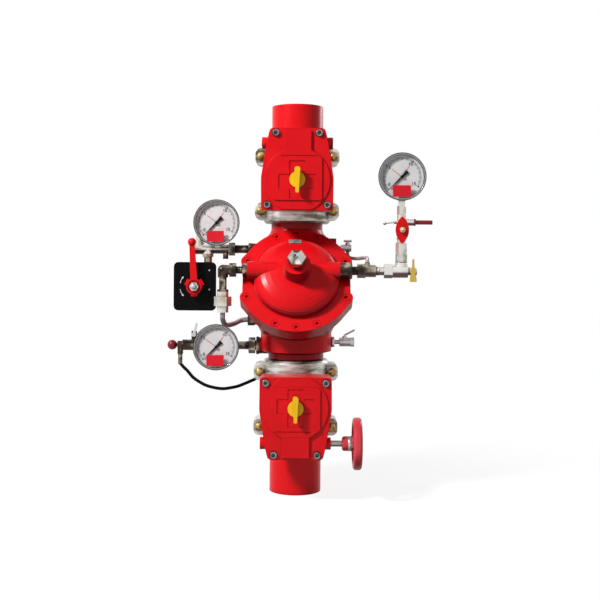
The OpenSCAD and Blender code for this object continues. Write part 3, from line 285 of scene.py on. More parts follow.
def seen_rays(tree):
    """1 where the camera, or metal or glass, sees the surface, and 0 for the light that it gives."""
    rays = tree.nodes.new("ShaderNodeLightPath").outputs
    total = rays["Is Camera Ray"]
    for kind in ("Is Glossy Ray", "Is Transmission Ray"):
        total = maths(tree, "ADD", total, rays[kind], clamp=True)
    return total


def output_node(tree):
    return next(n for n in tree.nodes if n.type == "OUTPUT_MATERIAL")


def node_tree(name):
    material = bpy.data.materials.new(name)
    material.use_nodes = True
    tree = material.node_tree
    bsdf = next(n for n in tree.nodes if n.type == "BSDF_PRINCIPLED")
    return material, tree, bsdf


# Studio
def add_lamp(name, place, size, power):
    data = bpy.data.lights.new(name, "AREA")
    data.shape = "DISK"
    data.size = size
    data.energy = power
    lamp = bpy.data.objects.new(name, data)
    lamp.location = place
    lamp.rotation_euler = (Vector(LIGHT_TARGET) - Vector(place)).to_track_quat("-Z", "Y").to_euler()
    scene.collection.objects.link(lamp)


def set_light():
    """Two lamps, and a room that is seen white and gives little light."""
    add_lamp("key", KEY_PLACE, KEY_SIZE, KEY_POWER)
    add_lamp("back", BACK_PLACE, BACK_SIZE, BACK_POWER)
    world = bpy.data.worlds.new("studio")
    scene.world = world
    world.use_nodes = True
    tree = world.node_tree
    tree.nodes.clear()
    lit = tree.nodes.new("ShaderNodeBackground")
    seen = tree.nodes.new("ShaderNodeBackground")
    set_sockets(tree, lit, {"Color": WHITE, "Strength": ROOM_LIGHT})
    set_sockets(tree, seen, {"Color": WHITE, "Strength": 1.0})
    mix = mix_shaders(tree, seen_rays(tree), lit, seen)
    set_sockets(tree, tree.nodes.new("ShaderNodeOutputWorld"), {0: mix.outputs[0]})


def floor_material():
    """White floor: it takes the shadow near the object and fades into the background farther out."""
    material, tree, bsdf = node_tree("floor_white")
    set_sockets(tree, bsdf, {"Base Color": FLOOR_BOUNCE, "Roughness": 0.9})
    shadow = set_sockets(tree, tree.nodes.new("ShaderNodeBsdfDiffuse"), {"Color": FLOOR_SHADOW})
    glow = set_sockets(tree, tree.nodes.new("ShaderNodeEmission"), {"Strength": FLOOR_GLOW})
    near = tree.nodes.new("ShaderNodeAddShader")
    set_sockets(tree, near, {0: shadow.outputs[0], 1: glow.outputs[0]})
    white = set_sockets(tree, tree.nodes.new("ShaderNodeEmission"), {"Strength": 1.0})
    distance = vector_maths(tree, "LENGTH", object_place(tree)).outputs["Value"]
    fade = map_range(tree, distance, FADE_START, FADE_END)
    fade.node.interpolation_type = "SMOOTHSTEP"
    shown = mix_shaders(tree, fade, near, white)
    mix = mix_shaders(tree, seen_rays(tree), bsdf, shown)
    feed(tree, mix.outputs[0], output_node(tree).inputs["Surface"])
    return material


def set_floor():
    mesh = bpy.data.meshes.new("floor")
    build = bmesh.new()
    bmesh.ops.create_grid(build, x_segments=1, y_segments=1, size=FLOOR_HALF)
    build.to_mesh(mesh)
    build.free()
    floor = bpy.data.objects.new("floor", mesh)
    scene.collection.objects.link(floor)
    mesh.materials.append(floor_material())


# Materials: painted shade on faces that look down, as colours, and for metal as a share of its darkest stop
PAINT_SHADE_BELOW = (0.20, 0.002, 0.004)
TRIM_SHADE_BELOW = (0.050, 0.016, 0.010)
HOUSING_SHADE_BELOW = (0.16, 0.13, 0.09)
METAL_SHADE_BELOW = 0.15

# Share of its colour to which a plastic darkens in patches
MOTTLE = 0.88

# Colours of the fittings and cases, as stops of ramps where they vary
PALE_STOPS = [(0.32, (0.44, 0.36, 0.25)), (0.46, (0.70, 0.66, 0.58)), (0.68, (0.82, 0.80, 0.76))]
DARK_TRIM_STOPS = [(0.38, (0.012, 0.008, 0.006)), (0.53, (0.065, 0.044, 0.026)), (0.66, (0.44, 0.39, 0.28))]
STREAK_STOPS = [(0.36, (0.15, 0.13, 0.085)), (0.47, (0.46, 0.44, 0.39)), (0.60, (0.80, 0.79, 0.76))]
# The chrome's stops are a painted reflection: bands of a dark room and bright lamps
PAINTED_REFLECTION_STOPS = [(0.22, (0.03, 0.028, 0.02)), (0.36, (0.62, 0.60, 0.52)), (0.50, (0.10, 0.11, 0.08)),
                (0.64, (0.90, 0.90, 0.88)), (0.80, (0.50, 0.50, 0.46))]
STEEL_STOPS = [(0.3, (0.30, 0.29, 0.27)), (0.5, (0.52, 0.51, 0.48)), (0.7, (0.70, 0.69, 0.66))]
CASE_STOPS = [(0.35, (0.025, 0.025, 0.03)), (0.65, (0.13, 0.125, 0.135))]
CASE_RING = (0.60, 0.60, 0.61)
CASE_STEM = (0.72, 0.70, 0.64)

# Where the colour of a fitting changes, in metres
DARK_TRIM_FADE = 0.03
CLEAR_OF_BODY = 0.13
STEM_LEFT = 0.1
STEM_TOP = GAUGES["release"][2] - 0.0505

# Painted reflection in the chrome: the direction of its painted lamp, and how the painted light falls off and
# wavers
PAINTED_LAMP_TOWARD = (0.84, -0.20, 0.50)
PAINTED_REFLECTION_FALL = 0.5
PAINTED_REFLECTION_LEVEL = 0.22
PAINTED_REFLECTION_WAVES = 0.55


def red_paint(name, low, high, grain=330.0, strength=0.28, distance=0.0005, roughness=0.34,
              bevel=0.0018, recess=0.45, reach=0.012):
    """Sprayed enamel, with a thin gloss coat: painted shade darkens it in recesses and where it faces down."""
    material, tree, bsdf = node_tree(name)
    shade = ramp(tree, noise(tree, 9.0, detail=4.0, roughness=0.6), between(low, high))
    shade = shade_below(tree, shade, PAINT_SHADE_BELOW, start=-0.20, end=-0.60, amount=0.85)
    relief = noise(tree, grain, detail=4.0, roughness=0.6)
    set_sockets(tree, bsdf, {
        "Base Color": hollow_shade_and_grime(tree, shade, recess, reach),
        "Roughness": spread(tree, noise(tree, 40.0, detail=4.0), roughness - 0.05, roughness + 0.07),
        "Specular IOR Level": 0.08,
        "Coat Weight": 0.16,
        "Coat Roughness": 0.22,
        "Normal": bump(tree, relief, strength, distance, bevel),
    })
    return material


def metal(name, stops, gloss=(0.25, 0.4), patch=60.0, grain=400.0, strength=0.1, bevel=0.0005,
          metallic=0.6, shade=0.35, under=0.6):
    """Plain metal in patches, with painted shade where it faces down and in hollows: gloss is the range of its
    roughness.
    """
    material, tree, bsdf = node_tree(name)
    colour = ramp(tree, noise(tree, patch, detail=2.0), stops)
    below = tuple(METAL_SHADE_BELOW * c for c in stops[0][1])
    colour = shade_below(tree, colour, below, start=-0.02, end=-0.40, amount=under)
    set_sockets(tree, bsdf, {
        "Base Color": hollow_shade_and_grime(tree, colour, shade, distance=0.008),
        "Metallic": metallic,
        "Roughness": spread(tree, noise(tree, patch * 1.7, detail=4.0), *gloss),
        "Normal": bump(tree, noise(tree, grain), strength, 0.0002, bevel),
    })
    return material


def trim_zinc(name, reach, foot=None, pale_foot=False):
    """Screwed fittings: dark up to the distance `reach` from the pipe axis, pale farther out, with painted shade
    where they face down and in hollows.
    Below the height `foot`, clear of the body, they are dark throughout, or pale."""
    material, tree, bsdf = node_tree(name)
    pale = ramp(tree, noise(tree, 26.0, detail=1.5, roughness=0.4), PALE_STOPS)
    dark = ramp(tree, noise(tree, 62.0, detail=1.5, roughness=0.4), DARK_TRIM_STOPS)
    axes = split_axes(tree, object_place(tree))
    side = maths(tree, "ABSOLUTE", axes["X"])
    colour = blend_colours(tree, map_range(tree, side, reach, reach + DARK_TRIM_FADE), dark, pale)
    if foot:
        low = maths(tree, "LESS_THAN", axes["Z"], foot)
        clear = maths(tree, "GREATER_THAN", side, CLEAR_OF_BODY)
        both = maths(tree, "MULTIPLY", low, clear)
        colour = blend_colours(tree, both, colour, pale if pale_foot else dark)
    colour = shade_below(tree, colour, TRIM_SHADE_BELOW, start=-0.02, end=-0.30, amount=0.94)
    relief = noise(tree, 200.0, detail=2.0)
    set_sockets(tree, bsdf, {
        "Base Color": hollow_shade_and_grime(tree, colour, shade=0.25, distance=0.010),
        "Metallic": 0.6,
        "Roughness": spread(tree, noise(tree, 90.0, detail=2.0), 0.16, 0.28),
        "Normal": bump(tree, relief, strength=0.04, distance=0.0003, bevel=0.0010),
    })
    return material


def chrome(name):
    """Polished plate with a painted reflection: each facet's colour paints a dark room with bright lamps by the
    way that it faces, with painted shade in its hollows.
    """
    material, tree, bsdf = node_tree(name)
    toward = vector_maths(tree, "DOT_PRODUCT", surface_normal(tree), PAINTED_LAMP_TOWARD).outputs["Value"]
    level = maths(tree, "MULTIPLY_ADD", toward, PAINTED_REFLECTION_FALL, PAINTED_REFLECTION_LEVEL)
    waves = noise(tree, 60.0, detail=1.0, roughness=0.4)
    colour = ramp(tree, maths(tree, "MULTIPLY_ADD", waves, PAINTED_REFLECTION_WAVES, level), PAINTED_REFLECTION_STOPS)
    relief = noise(tree, 400.0, detail=2.0)
    set_sockets(tree, bsdf, {
        "Base Color": hollow_shade_and_grime(tree, colour, shade=0.3, distance=0.006),
        "Metallic": 0.95,
        "Roughness": spread(tree, noise(tree, 80.0, detail=2.0), 0.08, 0.16),
        "Normal": bump(tree, relief, strength=0.03, distance=0.0002, bevel=0.0004),
    })
    return material


def brushed(name):
    """Coupling housings: bright zinc with streaks along the ring, with brownish painted shade where it faces down
    and in hollows.
    """
    material, tree, bsdf = node_tree(name)
    values = {"Vector": object_place(tree), "Scale": (14, 14, 70)}
    stretch = set_sockets(tree, tree.nodes.new("ShaderNodeMapping"), values)
    streak = noise(tree, 1.0, detail=4.0, roughness=0.6, vector=stretch.outputs["Vector"])
    colour = ramp(tree, streak, STREAK_STOPS)
    colour = shade_below(tree, colour, HOUSING_SHADE_BELOW, start=-0.05, end=-0.60, amount=0.8)
    set_sockets(tree, bsdf, {
        "Base Color": hollow_shade_and_grime(tree, colour, shade=0.30, distance=0.010),
        "Metallic": 0.6,
        "Roughness": spread(tree, streak, 0.22, 0.38),
        "Normal": bump(tree, noise(tree, 260.0), strength=0.10, distance=0.0003, bevel=0.0016),
    })
    return material


def gauge_case(name):
    """Dark polished cases, pale inside the rim; the stem under the right-hand gauge is pale."""
    material, tree, bsdf = node_tree(name)
    colour = ramp(tree, noise(tree, 30.0, detail=2.0, roughness=0.4), CASE_STOPS)
    place = object_place(tree)
    for centre in GAUGES.values():
        away = vector_maths(tree, "SUBTRACT", place, centre).outputs["Vector"]
        flat = vector_maths(tree, "MULTIPLY", away, (1, 0, 1)).outputs["Vector"]
        reach = vector_maths(tree, "LENGTH", flat).outputs["Value"]
        inside = map_range(tree, reach, RING_OUTSIDE, RING_INSIDE)
        colour = blend_colours(tree, inside, colour, CASE_RING)
    axes = split_axes(tree, place)
    right = maths(tree, "GREATER_THAN", axes["X"], STEM_LEFT)
    low = maths(tree, "LESS_THAN", axes["Z"], STEM_TOP)
    colour = blend_colours(tree, maths(tree, "MULTIPLY", right, low), colour, CASE_STEM)
    set_sockets(tree, bsdf, {
        # Painted shade darkens the cases in their hollows
        "Base Color": hollow_shade_and_grime(tree, colour, shade=0.35, distance=0.008),
        "Metallic": 0.8,
        "Roughness": spread(tree, noise(tree, 60.0), 0.14, 0.26),
        "Normal": bump(tree, noise(tree, 400.0), strength=0.05, distance=0.0002, bevel=0.0005),
    })
    return material


def plastic(name, colour, roughness, specular=0.3, shade=0.6):
    """Moulded plastic, painted metal, rubber or print, faintly mottled."""
    material, tree, bsdf = node_tree(name)
    darker = tuple(MOTTLE * c for c in colour)
    mottle = ramp(tree, noise(tree, 30.0), between(darker, colour))
    relief = noise(tree, 700.0, detail=2.0)
    set_sockets(tree, bsdf, {
        # Painted shade darkens the plastic in its hollows
        "Base Color": hollow_shade_and_grime(tree, mottle, shade, distance=0.006),
        "Roughness": spread(tree, noise(tree, 90.0), roughness - 0.04, roughness + 0.06),
        "Specular IOR Level": specular,
        "Normal": bump(tree, relief, strength=0.08, distance=0.0001, bevel=0.0006),
    })
    return material


def glass(name):
    """Thin clear glass that mirrors a little at a flat angle, on its front only."""
    material, tree, bsdf = node_tree(name)
    tree.nodes.remove(bsdf)
    clear = set_sockets(tree, tree.nodes.new("ShaderNodeBsdfTransparent"), {"Color": (0.99, 0.99, 0.99)})
    gloss = set_sockets(tree, tree.nodes.new("ShaderNodeBsdfGlossy"), {"Roughness": 0.04})
    edge = set_sockets(tree, tree.nodes.new("ShaderNodeFresnel"), {"IOR": 1.3})
    back = tree.nodes.new("ShaderNodeNewGeometry").outputs["Backfacing"]
    front = maths(tree, "SUBTRACT", edge.outputs[0], back, clamp=True)
    mix = mix_shaders(tree, front, clear, gloss)
    feed(tree, mix.outputs[0], output_node(tree).inputs["Surface"])
    return material


CAST_REDS = ((0.70, 0.004, 0.008), (0.82, 0.006, 0.011))
RED = red_paint("red_enamel", (0.72, 0.004, 0.008), (0.82, 0.006, 0.011),
                grain=260.0, strength=0.10, distance=0.0003, roughness=0.30, bevel=0.0010)
CAST = red_paint("red_cast", *CAST_REDS)
# The valve body's occlusion reaches 0.11 m: a painted shadow under the cover's flange
BODY = red_paint("red_body", *CAST_REDS, recess=0.22, reach=0.11)
BOLT = red_paint("red_bolt", (0.80, 0.005, 0.009), (0.90, 0.007, 0.012),
                 strength=0.20, distance=0.0004, bevel=0.0012, recess=1.0)
WHEEL = red_paint("red_wheel", (0.62, 0.030, 0.045), (0.78, 0.075, 0.100),
                  grain=300.0, strength=0.20, distance=0.0004, bevel=0.0014)
ZINC = trim_zinc("galvanised", reach=0.142)
ALARM = trim_zinc("alarm_fittings", reach=0.142, foot=0.526)
PRIMING = trim_zinc("priming_fittings", reach=0.170, foot=0.447, pale_foot=True)
SUPPLY = trim_zinc("supply_fittings", reach=0.300)
HOUSING = brushed("coupling_zinc")
STEEL = metal("bright_steel", STEEL_STOPS, gloss=(0.2, 0.36), patch=70.0, grain=500.0,
              strength=0.12, shade=0.10)
SCREW = metal("screw_steel", between((0.10, 0.09, 0.085), (0.36, 0.34, 0.33)),
              gloss=(0.2, 0.36), patch=70.0, grain=500.0, strength=0.12, shade=0.10)
SHAFT = metal("shaft_steel", between((0.34, 0.33, 0.32), (0.52, 0.51, 0.50)),
              gloss=(0.2, 0.32), patch=40.0, grain=500.0, strength=0.06, shade=0.3, under=0.95)
TUBE = metal("tube_steel", between((0.30, 0.26, 0.27), (0.56, 0.50, 0.52)),
             gloss=(0.32, 0.44), patch=30.0, strength=0.05, metallic=0.35, shade=0.4, under=0.8)
PALE = metal("pale_zinc", between((0.58, 0.57, 0.58), (0.80, 0.79, 0.80)),
             patch=40.0, strength=0.06, metallic=0.45, shade=0.45, under=0.75)
BRONZE = metal("dark_bronze", between((0.09, 0.06, 0.035), (0.30, 0.23, 0.15)), bevel=0.0006)
GOLD = metal("yellow_zinc", between((0.22, 0.13, 0.03), (0.66, 0.46, 0.15)),
             gloss=(0.22, 0.36), patch=90.0, grain=500.0, strength=0.15)
BRASS = metal("brass_metal", between((0.36, 0.25, 0.10), (0.66, 0.51, 0.24)),
              gloss=(0.3, 0.5), strength=0.2, bevel=0.0006)
CHROME = chrome("chrome_plate")
CASE = gauge_case("gauge_steel")
YELLOW = plastic("yellow_plastic", (1.0, 0.60, 0.006), 0.35)
RED_KNOB = plastic("red_plastic", (0.24, 0.009, 0.018), 0.3)
OCHRE = plastic("petcock_yellow", (0.74, 0.50, 0.09), 0.32)
BLACK = plastic("black_paint", (0.004, 0.0035, 0.004), 0.38, specular=0.05)
DARK = plastic("pointer_black", (0.006, 0.005, 0.006), 0.45, specular=0.08, shade=1.0)
RUBBER = plastic("black_rubber", (0.005, 0.005, 0.005), 0.5, specular=0.08)
DIAL = plastic("white_dial", (0.88, 0.86, 0.87), 0.5, shade=0.8)
GLASS = glass("clear_glass")
WHITE_PRINT = plastic("white_print", (0.86, 0.86, 0.85), 0.5, shade=1.0)
RED_PRINT = plastic("red_print", (0.78, 0.015, 0.03), 0.45, specular=0.2, shade=1.0)

BY_SLOT = {
    "red_enamel": RED, "red_cast": CAST, "galvanised": ZINC, "bright_steel": STEEL, "yellow_zinc": GOLD,
    "brass_metal": BRASS, "chrome_plate": CHROME, "yellow_plastic": YELLOW, "red_plastic": RED_KNOB,
    "black_paint": BLACK, "white_dial": DIAL, "clear_glass": GLASS, "black_rubber": RUBBER,
}
BY_NODE = {
    "coupling_front_halves": HOUSING, "coupling_rear_halves": HOUSING, "gauge_cases": CASE,
    "handwheel": WHEEL, "supply_line": SUPPLY, "priming_line": PRIMING, "alarm_line": ALARM,
    "petcock_handle": OCHRE, "gear_cover_screws": SCREW, "lower_worm_shaft": SHAFT,
    "upper_worm_shaft": SHAFT, "trim_tubes": TUBE, "cover_bolts": BOLT, "deluge_body": BODY,
    "small_cock_bodies": PALE, "vent_handle": PALE, "drain_lever": PALE, "test_cock_lever": PALE,
}


def dress_nodes():
    """Give every CAD node its own material, or else the one of its slot."""
    for part in frame["record"]["subparts"]:
        node = part["node"]
        material = BY_NODE.get(node, BY_SLOT[part["material_slot"]])
        for entry in frame["nodes"][node].material_slots:
            entry.material = material


# Pieces
def piece(name, build, material, body):
    mesh = bpy.data.meshes.new(name)
    bmesh.ops.recalc_face_normals(build, faces=build.faces)
    build.to_mesh(mesh)
    build.free()
    mesh.materials.append(material)
    made = bpy.data.objects.new(name, mesh)
    scene.collection.objects.link(made)
    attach(made, body)
    return made


def smooth(made):
    for face in made.data.polygons:
        face.use_smooth = True
    return made


def join_rings(build, low, high):
    """Faces between two rings of points; a ring of one point is a tip."""
    for i in range(max(len(low), len(high))):
        j = i + 1
        corners = [low[i % len(low)], low[j % len(low)], high[j % len(high)], high[i % len(high)]]
        build.faces.new(list(dict.fromkeys(corners)))


def flat_prism(build, place, corners, w, thick=0.0001):
    """Thin solid over flat corners (u, v), from the depth w: place turns (u, v, w) into a point."""
    low = [build.verts.new(place(u, v, w)) for u, v in corners]
    high = [build.verts.new(place(u, v, w + thick)) for u, v in corners]
    build.faces.new(low)
    build.faces.new(high[::-1])
    join_rings(build, low, high)


def turned(name, profile, start, axis, material, body, steps=24, shading=True):
    """Solid of revolution: profile of (radius, height) pairs, from start along axis."""
    along = Vector(axis).normalized()
    first = along.orthogonal().normalized()
    second = along.cross(first)
    build = bmesh.new()
    rings = []
    for r, h in profile:
        centre = Vector(start) + along * h
        angles = [2 * math.pi * i / steps for i in range(steps if r else 1)]
        rings.append([build.verts.new(centre + r * (math.cos(a) * first + math.sin(a) * second))
                      for a in angles])
    for low, high in zip(rings, rings[1:]):
        join_rings(build, low, high)
    made = piece(name, build, material, body)
    return smooth(made) if shading else made


# Hose from the supply valve round to the rear of the inlet chamber
HOSE_R = 0.0037
FRONT_SLEEVE_R = 0.0050
REAR_SLEEVE_R = 0.0054
REAR_SLEEVE_AXIS = (-0.001, -0.002, -0.015)
SLEEVE_LENGTH = 0.012
SLEEVE_GROOVE = 0.88

# Route of the hose, as in the CAD model: x, y and the height above the front barb
HOSE_POINTS = [(-0.259, 0, 0), (-0.259, 0, -0.008), (-0.2525, 0.001, -0.017), (-0.243, 0.004, -0.0267),
               (-0.2316, 0.009, -0.0412), (-0.2177, 0.013, -0.052), (-0.202, 0.018, -0.061),
               (-0.1836, 0.023, -0.0667), (-0.165, 0.0285, -0.0696), (-0.1478, 0.034, -0.068),
               (-0.1314, 0.040, -0.065), (-0.1095, 0.048, -0.057), (-0.086, 0.060, -0.047),
               (-0.064, 0.075, -0.033), (-0.050, 0.088, -0.015), (-0.043, 0.095, 0.002)]


def spline(points, steps):
    """The same curve through the points as the CAD model's."""
    p = [Vector(q) for q in points]
    q = [2 * p[0] - p[1]] + p + [2 * p[-1] - p[-2]]
    out = []
    for a, b, c, d in zip(q, q[1:], q[2:], q[3:]):
        for j in range(steps):
            t = j / steps
            out.append(0.5 * (2 * b + (c - a) * t + (2 * a - 5 * b + 4 * c - d) * t * t
                              + (3 * b - a - 3 * c + d) * t ** 3))
    out.append(p[-1])
    return out


def make_hose():
    route = [(x, y, HOSE_BARB[2] + drop) for x, y, drop in HOSE_POINTS] + [REAR_BARB]
    points = spline(route, steps=8)
    data = bpy.data.curves.new("hose", "CURVE")
    data.dimensions = "3D"
    data.bevel_depth = HOSE_R
    data.bevel_resolution = 6
    data.use_fill_caps = True
    line = data.splines.new("POLY")
    line.points.add(len(points) - 1)
    for spot, place in zip(line.points, points):
        spot.co = (*place, 1)
    line.use_smooth = True
    data.materials.append(RUBBER)
    hose = bpy.data.objects.new("hose", data)
    scene.collection.objects.link(hose)
    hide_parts("drain_hose")
    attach(hose, "station")


def sleeve(r):
    """Profile of a closed crimped sleeve with two grooves."""
    groove = SLEEVE_GROOVE * r
    steps = [(0.92 * r, 0), (r, 0.10), (r, 0.30), (groove, 0.34), (groove, 0.40), (r, 0.44), (r, 0.60),
             (groove, 0.64), (groove, 0.70), (r, 0.74), (0.95 * r, 1)]
    sides = [(radius, share * SLEEVE_LENGTH) for radius, share in steps]
    return [(0, 0)] + sides + [(0, SLEEVE_LENGTH)]


def make_sleeves():
    x, y, z = HOSE_BARB
    turned("hose_sleeve_front", sleeve(FRONT_SLEEVE_R), (x, y, z + 0.001), DOWN, BRONZE,
           "station")
    turned("hose_sleeve_rear", sleeve(REAR_SLEEVE_R), REAR_BARB, REAR_SLEEVE_AXIS, BRASS,
           "station")


# Gauge faces, drawn flat: u to the right, v up, w towards the front, and angles clockwise from the top
DIAL_MARKS = [-134, -54, 35, 121]
DIAL_STEPS = 85
NUMERAL_SIZE = 0.0095
NUMERAL_DEPTH = 0.00005
NUMERAL_WEIGHT = 0.00025
LABEL_CORNER = 0.0012
LABEL_T = 0.0002

# Numerals of a dial: text, angle and distance from the centre
DIAL_NUMERALS = [("0", -122, 0.0315), ("5", -54, 0.0325), ("10", 34, 0.0318), ("15", 121, 0.0290)]

# Ticks and lines of a dial: inner end, outer end and width
SMALL_TICK = (0.0368, 0.0412, 0.0006)
FIFTH_TICK = (0.0350, 0.0412, 0.0009)
MAIN_TICK = (0.0378, 0.0416, 0.0020)
RED_LINE = (0.005, 0.0265, 0.0013)

# Labels on the glasses: middle, width and height
LABELS = {
    "alarm": ((-0.0022, -0.0300), 0.037, 0.0235),
    "supply": ((-0.0015, -0.0290), 0.038, 0.0245),
    "release": ((-0.0008, -0.0305), 0.038, 0.0240),
}


def gauge_face(gauge):
    """Function that turns (u, v, w) on this gauge's face into a point."""
    x, y, z = GAUGES[gauge]
    return lambda u, v, w: (x + u, y - w, z + v)


def clock(degrees, r):
    """Point at r from the centre, with degrees clockwise from the top."""
    a = math.radians(degrees)
    return (r * math.sin(a), r * math.cos(a))


def tick(build, face, degrees, r0, r1, width):
    a = math.radians(degrees)
    du = math.cos(a) * width / 2
    dv = -math.sin(a) * width / 2
    u0, v0 = clock(degrees, r0)
    u1, v1 = clock(degrees, r1)
    corners = [(u0 - du, v0 - dv), (u0 + du, v0 + dv), (u1 + du, v1 + dv), (u1 - du, v1 - dv)]
    flat_prism(build, face, corners, DIAL_FRONT)


def numeral(build, face, text, centre):
    data = bpy.data.curves.new("numeral", "FONT")
    data.body = text
    data.size = NUMERAL_SIZE
    data.align_x = "CENTER"
    data.align_y = "CENTER"
    data.extrude = NUMERAL_DEPTH
    data.offset = NUMERAL_WEIGHT
    maker = bpy.data.objects.new("numeral", data)
    shape = maker.to_mesh()
    lift = Vector(face(centre[0], centre[1], DIAL_FRONT + NUMERAL_DEPTH))
    face_on = Matrix(((1, 0, 0), (0, 0, -1), (0, 1, 0)))
    verts = [build.verts.new(lift + face_on @ v.co) for v in shape.vertices]
    for polygon in shape.polygons:
        build.faces.new([verts[i] for i in polygon.vertices])
    maker.to_mesh_clear()
    bpy.data.objects.remove(maker)
    bpy.data.curves.remove(data)


def dial_print(gauge):
    """Ticks, numerals and two red lines of a dial."""
    face = gauge_face(gauge)
    marks = bmesh.new()
    for i in range(DIAL_STEPS + 1):
        degrees = DIAL_MARKS[0] + (DIAL_MARKS[-1] - DIAL_MARKS[0]) * i / DIAL_STEPS
        tick(marks, face, degrees, *(SMALL_TICK if i % 5 else FIFTH_TICK))
    for degrees in DIAL_MARKS:
        tick(marks, face, degrees, *MAIN_TICK)
    for text, degrees, r in DIAL_NUMERALS:
        numeral(marks, face, text, clock(degrees, r))
    piece(gauge + "_dial_marks", marks, DARK, "station")
    lines = bmesh.new()
    for degrees in DIAL_MARKS[1:3]:
        tick(lines, face, degrees, *RED_LINE)
    piece(gauge + "_dial_lines", lines, RED_PRINT, "station")


def rounded_box(width, height, radius, steps=5):
    """Corners (u, v) of a flat box with round corners, anticlockwise."""
    points = []
    for cx, cy, start in ((1, 1, 0), (-1, 1, 90), (-1, -1, 180), (1, -1, 270)):
        for i in range(steps + 1):
            a = math.radians(start + 90 * i / steps)
            points.append((cx * (width / 2 - radius) + radius * math.cos(a),
                           cy * (height / 2 - radius) + radius * math.sin(a)))
    return points


def gauge_label(gauge):
    """Blank red label on the glass."""
    centre, width, height = LABELS[gauge]
    build = bmesh.new()
    outline = rounded_box(width, height, LABEL_CORNER)
    corners = [(centre[0] + u, centre[1] + v) for u, v in outline]
    flat_prism(build, gauge_face(gauge), corners, GLASS_FRONT, LABEL_T)
    piece(gauge + "_label", build, RED_PRINT, "station")


# Small fasteners, each sunk a little into what carries it
NUT_R = 0.0066
NUT_H = 0.0034
STUD_R = 0.0030
LEVER_STUD_R = 0.0056
RIVET_R = 0.0021
RIVET_X = COCK_X + 0.0313
RIVETS = {"plate_rivet_upper": COCK_Z + 0.0345, "plate_rivet_lower": COCK_Z - 0.0067}


def dome(r, h, steps=5):
    """Profile of a closed domed head with a short straight side."""
    foot = 0.3 * h
    points = [(0, 0), (r, 0), (r, foot)]
    for i in range(1, steps):
        a = math.pi / 2 * i / steps
        points.append((r * math.cos(a), foot + 0.7 * h * math.sin(a)))
    return points + [(0, h)]


def make_fasteners():
    nut_y = front("gauge_valve_handle")
    nut = [(0, -0.0005), (NUT_R, -0.0005), (NUT_R, NUT_H - 0.0008), (NUT_R - 0.0010, NUT_H), (0, NUT_H)]
    turned("gauge_valve_nut", nut, (RISER_X, nut_y, GAUGE_VALVE_Z), FRONT, BRASS,
           "gauge_valve_key", steps=6, shading=False)
    stud_y = nut_y - NUT_H + 0.0004
    turned("gauge_valve_stud", dome(STUD_R, h=0.0022), (RISER_X, stud_y, GAUGE_VALVE_Z), FRONT, STEEL,
           "gauge_valve_key")
    lever_y = front("alarm_lever") + 0.0005
    turned("alarm_lever_stud", dome(LEVER_STUD_R, h=0.0035), (COCK_X, lever_y, COCK_Z), FRONT, STEEL,
           "alarm_handle")
    for name, z in RIVETS.items():
        turned(name, dome(RIVET_R, h=0.0014), (RIVET_X, PLATE_FRONT + 0.0002, z), FRONT, STEEL,
               "station", steps=16)


# Thin trim on the fittings
NIPPLE_R = 0.0097
SMALL_NIPPLE_R = 0.0082
THREAD_PITCH = 0.0016
THREAD_DEPTH = 0.0006
COLLAR_X = 0.1112

# Threaded nipples: start, axis, radius, length and material
NIPPLES = {
    "release_threads_inner": ((0.1172, TRIM_Y, PORT_Z), RIGHT, NIPPLE_R, 0.0102, ZINC),
    "release_threads_outer": ((0.1669, TRIM_Y, PORT_Z), RIGHT, NIPPLE_R, 0.0065, ZINC),
    "priming_threads": ((-0.1139, TRIM_Y, PORT_Z), LEFT, SMALL_NIPPLE_R, 0.0129, PRIMING),
    "supply_threads": ((-0.1062, 0, SUPPLY_Z), LEFT, NIPPLE_R, 0.0080, SUPPLY),
    "alarm_threads_inner": ((-0.1072, ALARM_Y, ALARM_Z), LEFT, NIPPLE_R, 0.0070, ALARM),
    "alarm_threads_outer": ((-0.1366, ALARM_Y, ALARM_Z), RIGHT, NIPPLE_R, 0.0070, ALARM),
}


def threads(name, start, axis, r, length, material):
    """Screw threads on a nipple, as close rings."""
    turns = max(2, round(length / THREAD_PITCH))
    root = r - THREAD_DEPTH
    one_turn = ((root, 0.15), (r, 0.5), (root, 0.85))
    profile = [(0, 0), (root, 0)]
    for i in range(turns):
        profile += [(radius, (i + share) * length / turns) for radius, share in one_turn]
    profile += [(root, length), (0, length)]
    turned(name, profile, start, axis, material, "station", shading=False)


def ring(r, length, edge, drop):
    """Profile of a solid ring whose two edges are broken by `edge` along it and `drop` off its radius."""
    return [(0, 0), (r - drop, 0), (r, edge), (r, length - edge), (r - drop, length), (0, length)]


def make_trim():
    for name, nipple in NIPPLES.items():
        threads(name, *nipple)
    _, shaft_y, shaft_z = pivot("lower_handwheel_turn")
    collar = ring(r=0.0159, length=0.0095, edge=0.0008, drop=0.0009)
    turned("handwheel_collar", collar, (COLLAR_X, shaft_y, shaft_z), RIGHT, STEEL, "lower_worm",
           steps=32)
    nut = ring(r=0.0125, length=0.0192, edge=0.0012, drop=0.0009)
    turned("riser_nut", nut, (RISER_X, TRIM_Y, RISER_NUT_Z), UP, STEEL, "station",
           steps=6, shading=False)
    washer = ring(r=0.0106, length=0.0024, edge=0.0006, drop=0.0004)
    turned("riser_ring", washer, (RISER_X, TRIM_Y, RISER_RING_Z), UP, SCREW, "station")


# Return spring of the clapper, coiled along the cover's slanted axis
SPRING_TURNS = 4
SPRING_R = 0.020
SPRING_WIRE_R = 0.0018
SPRING_START = 0.1074
SPRING_END = 0.1600


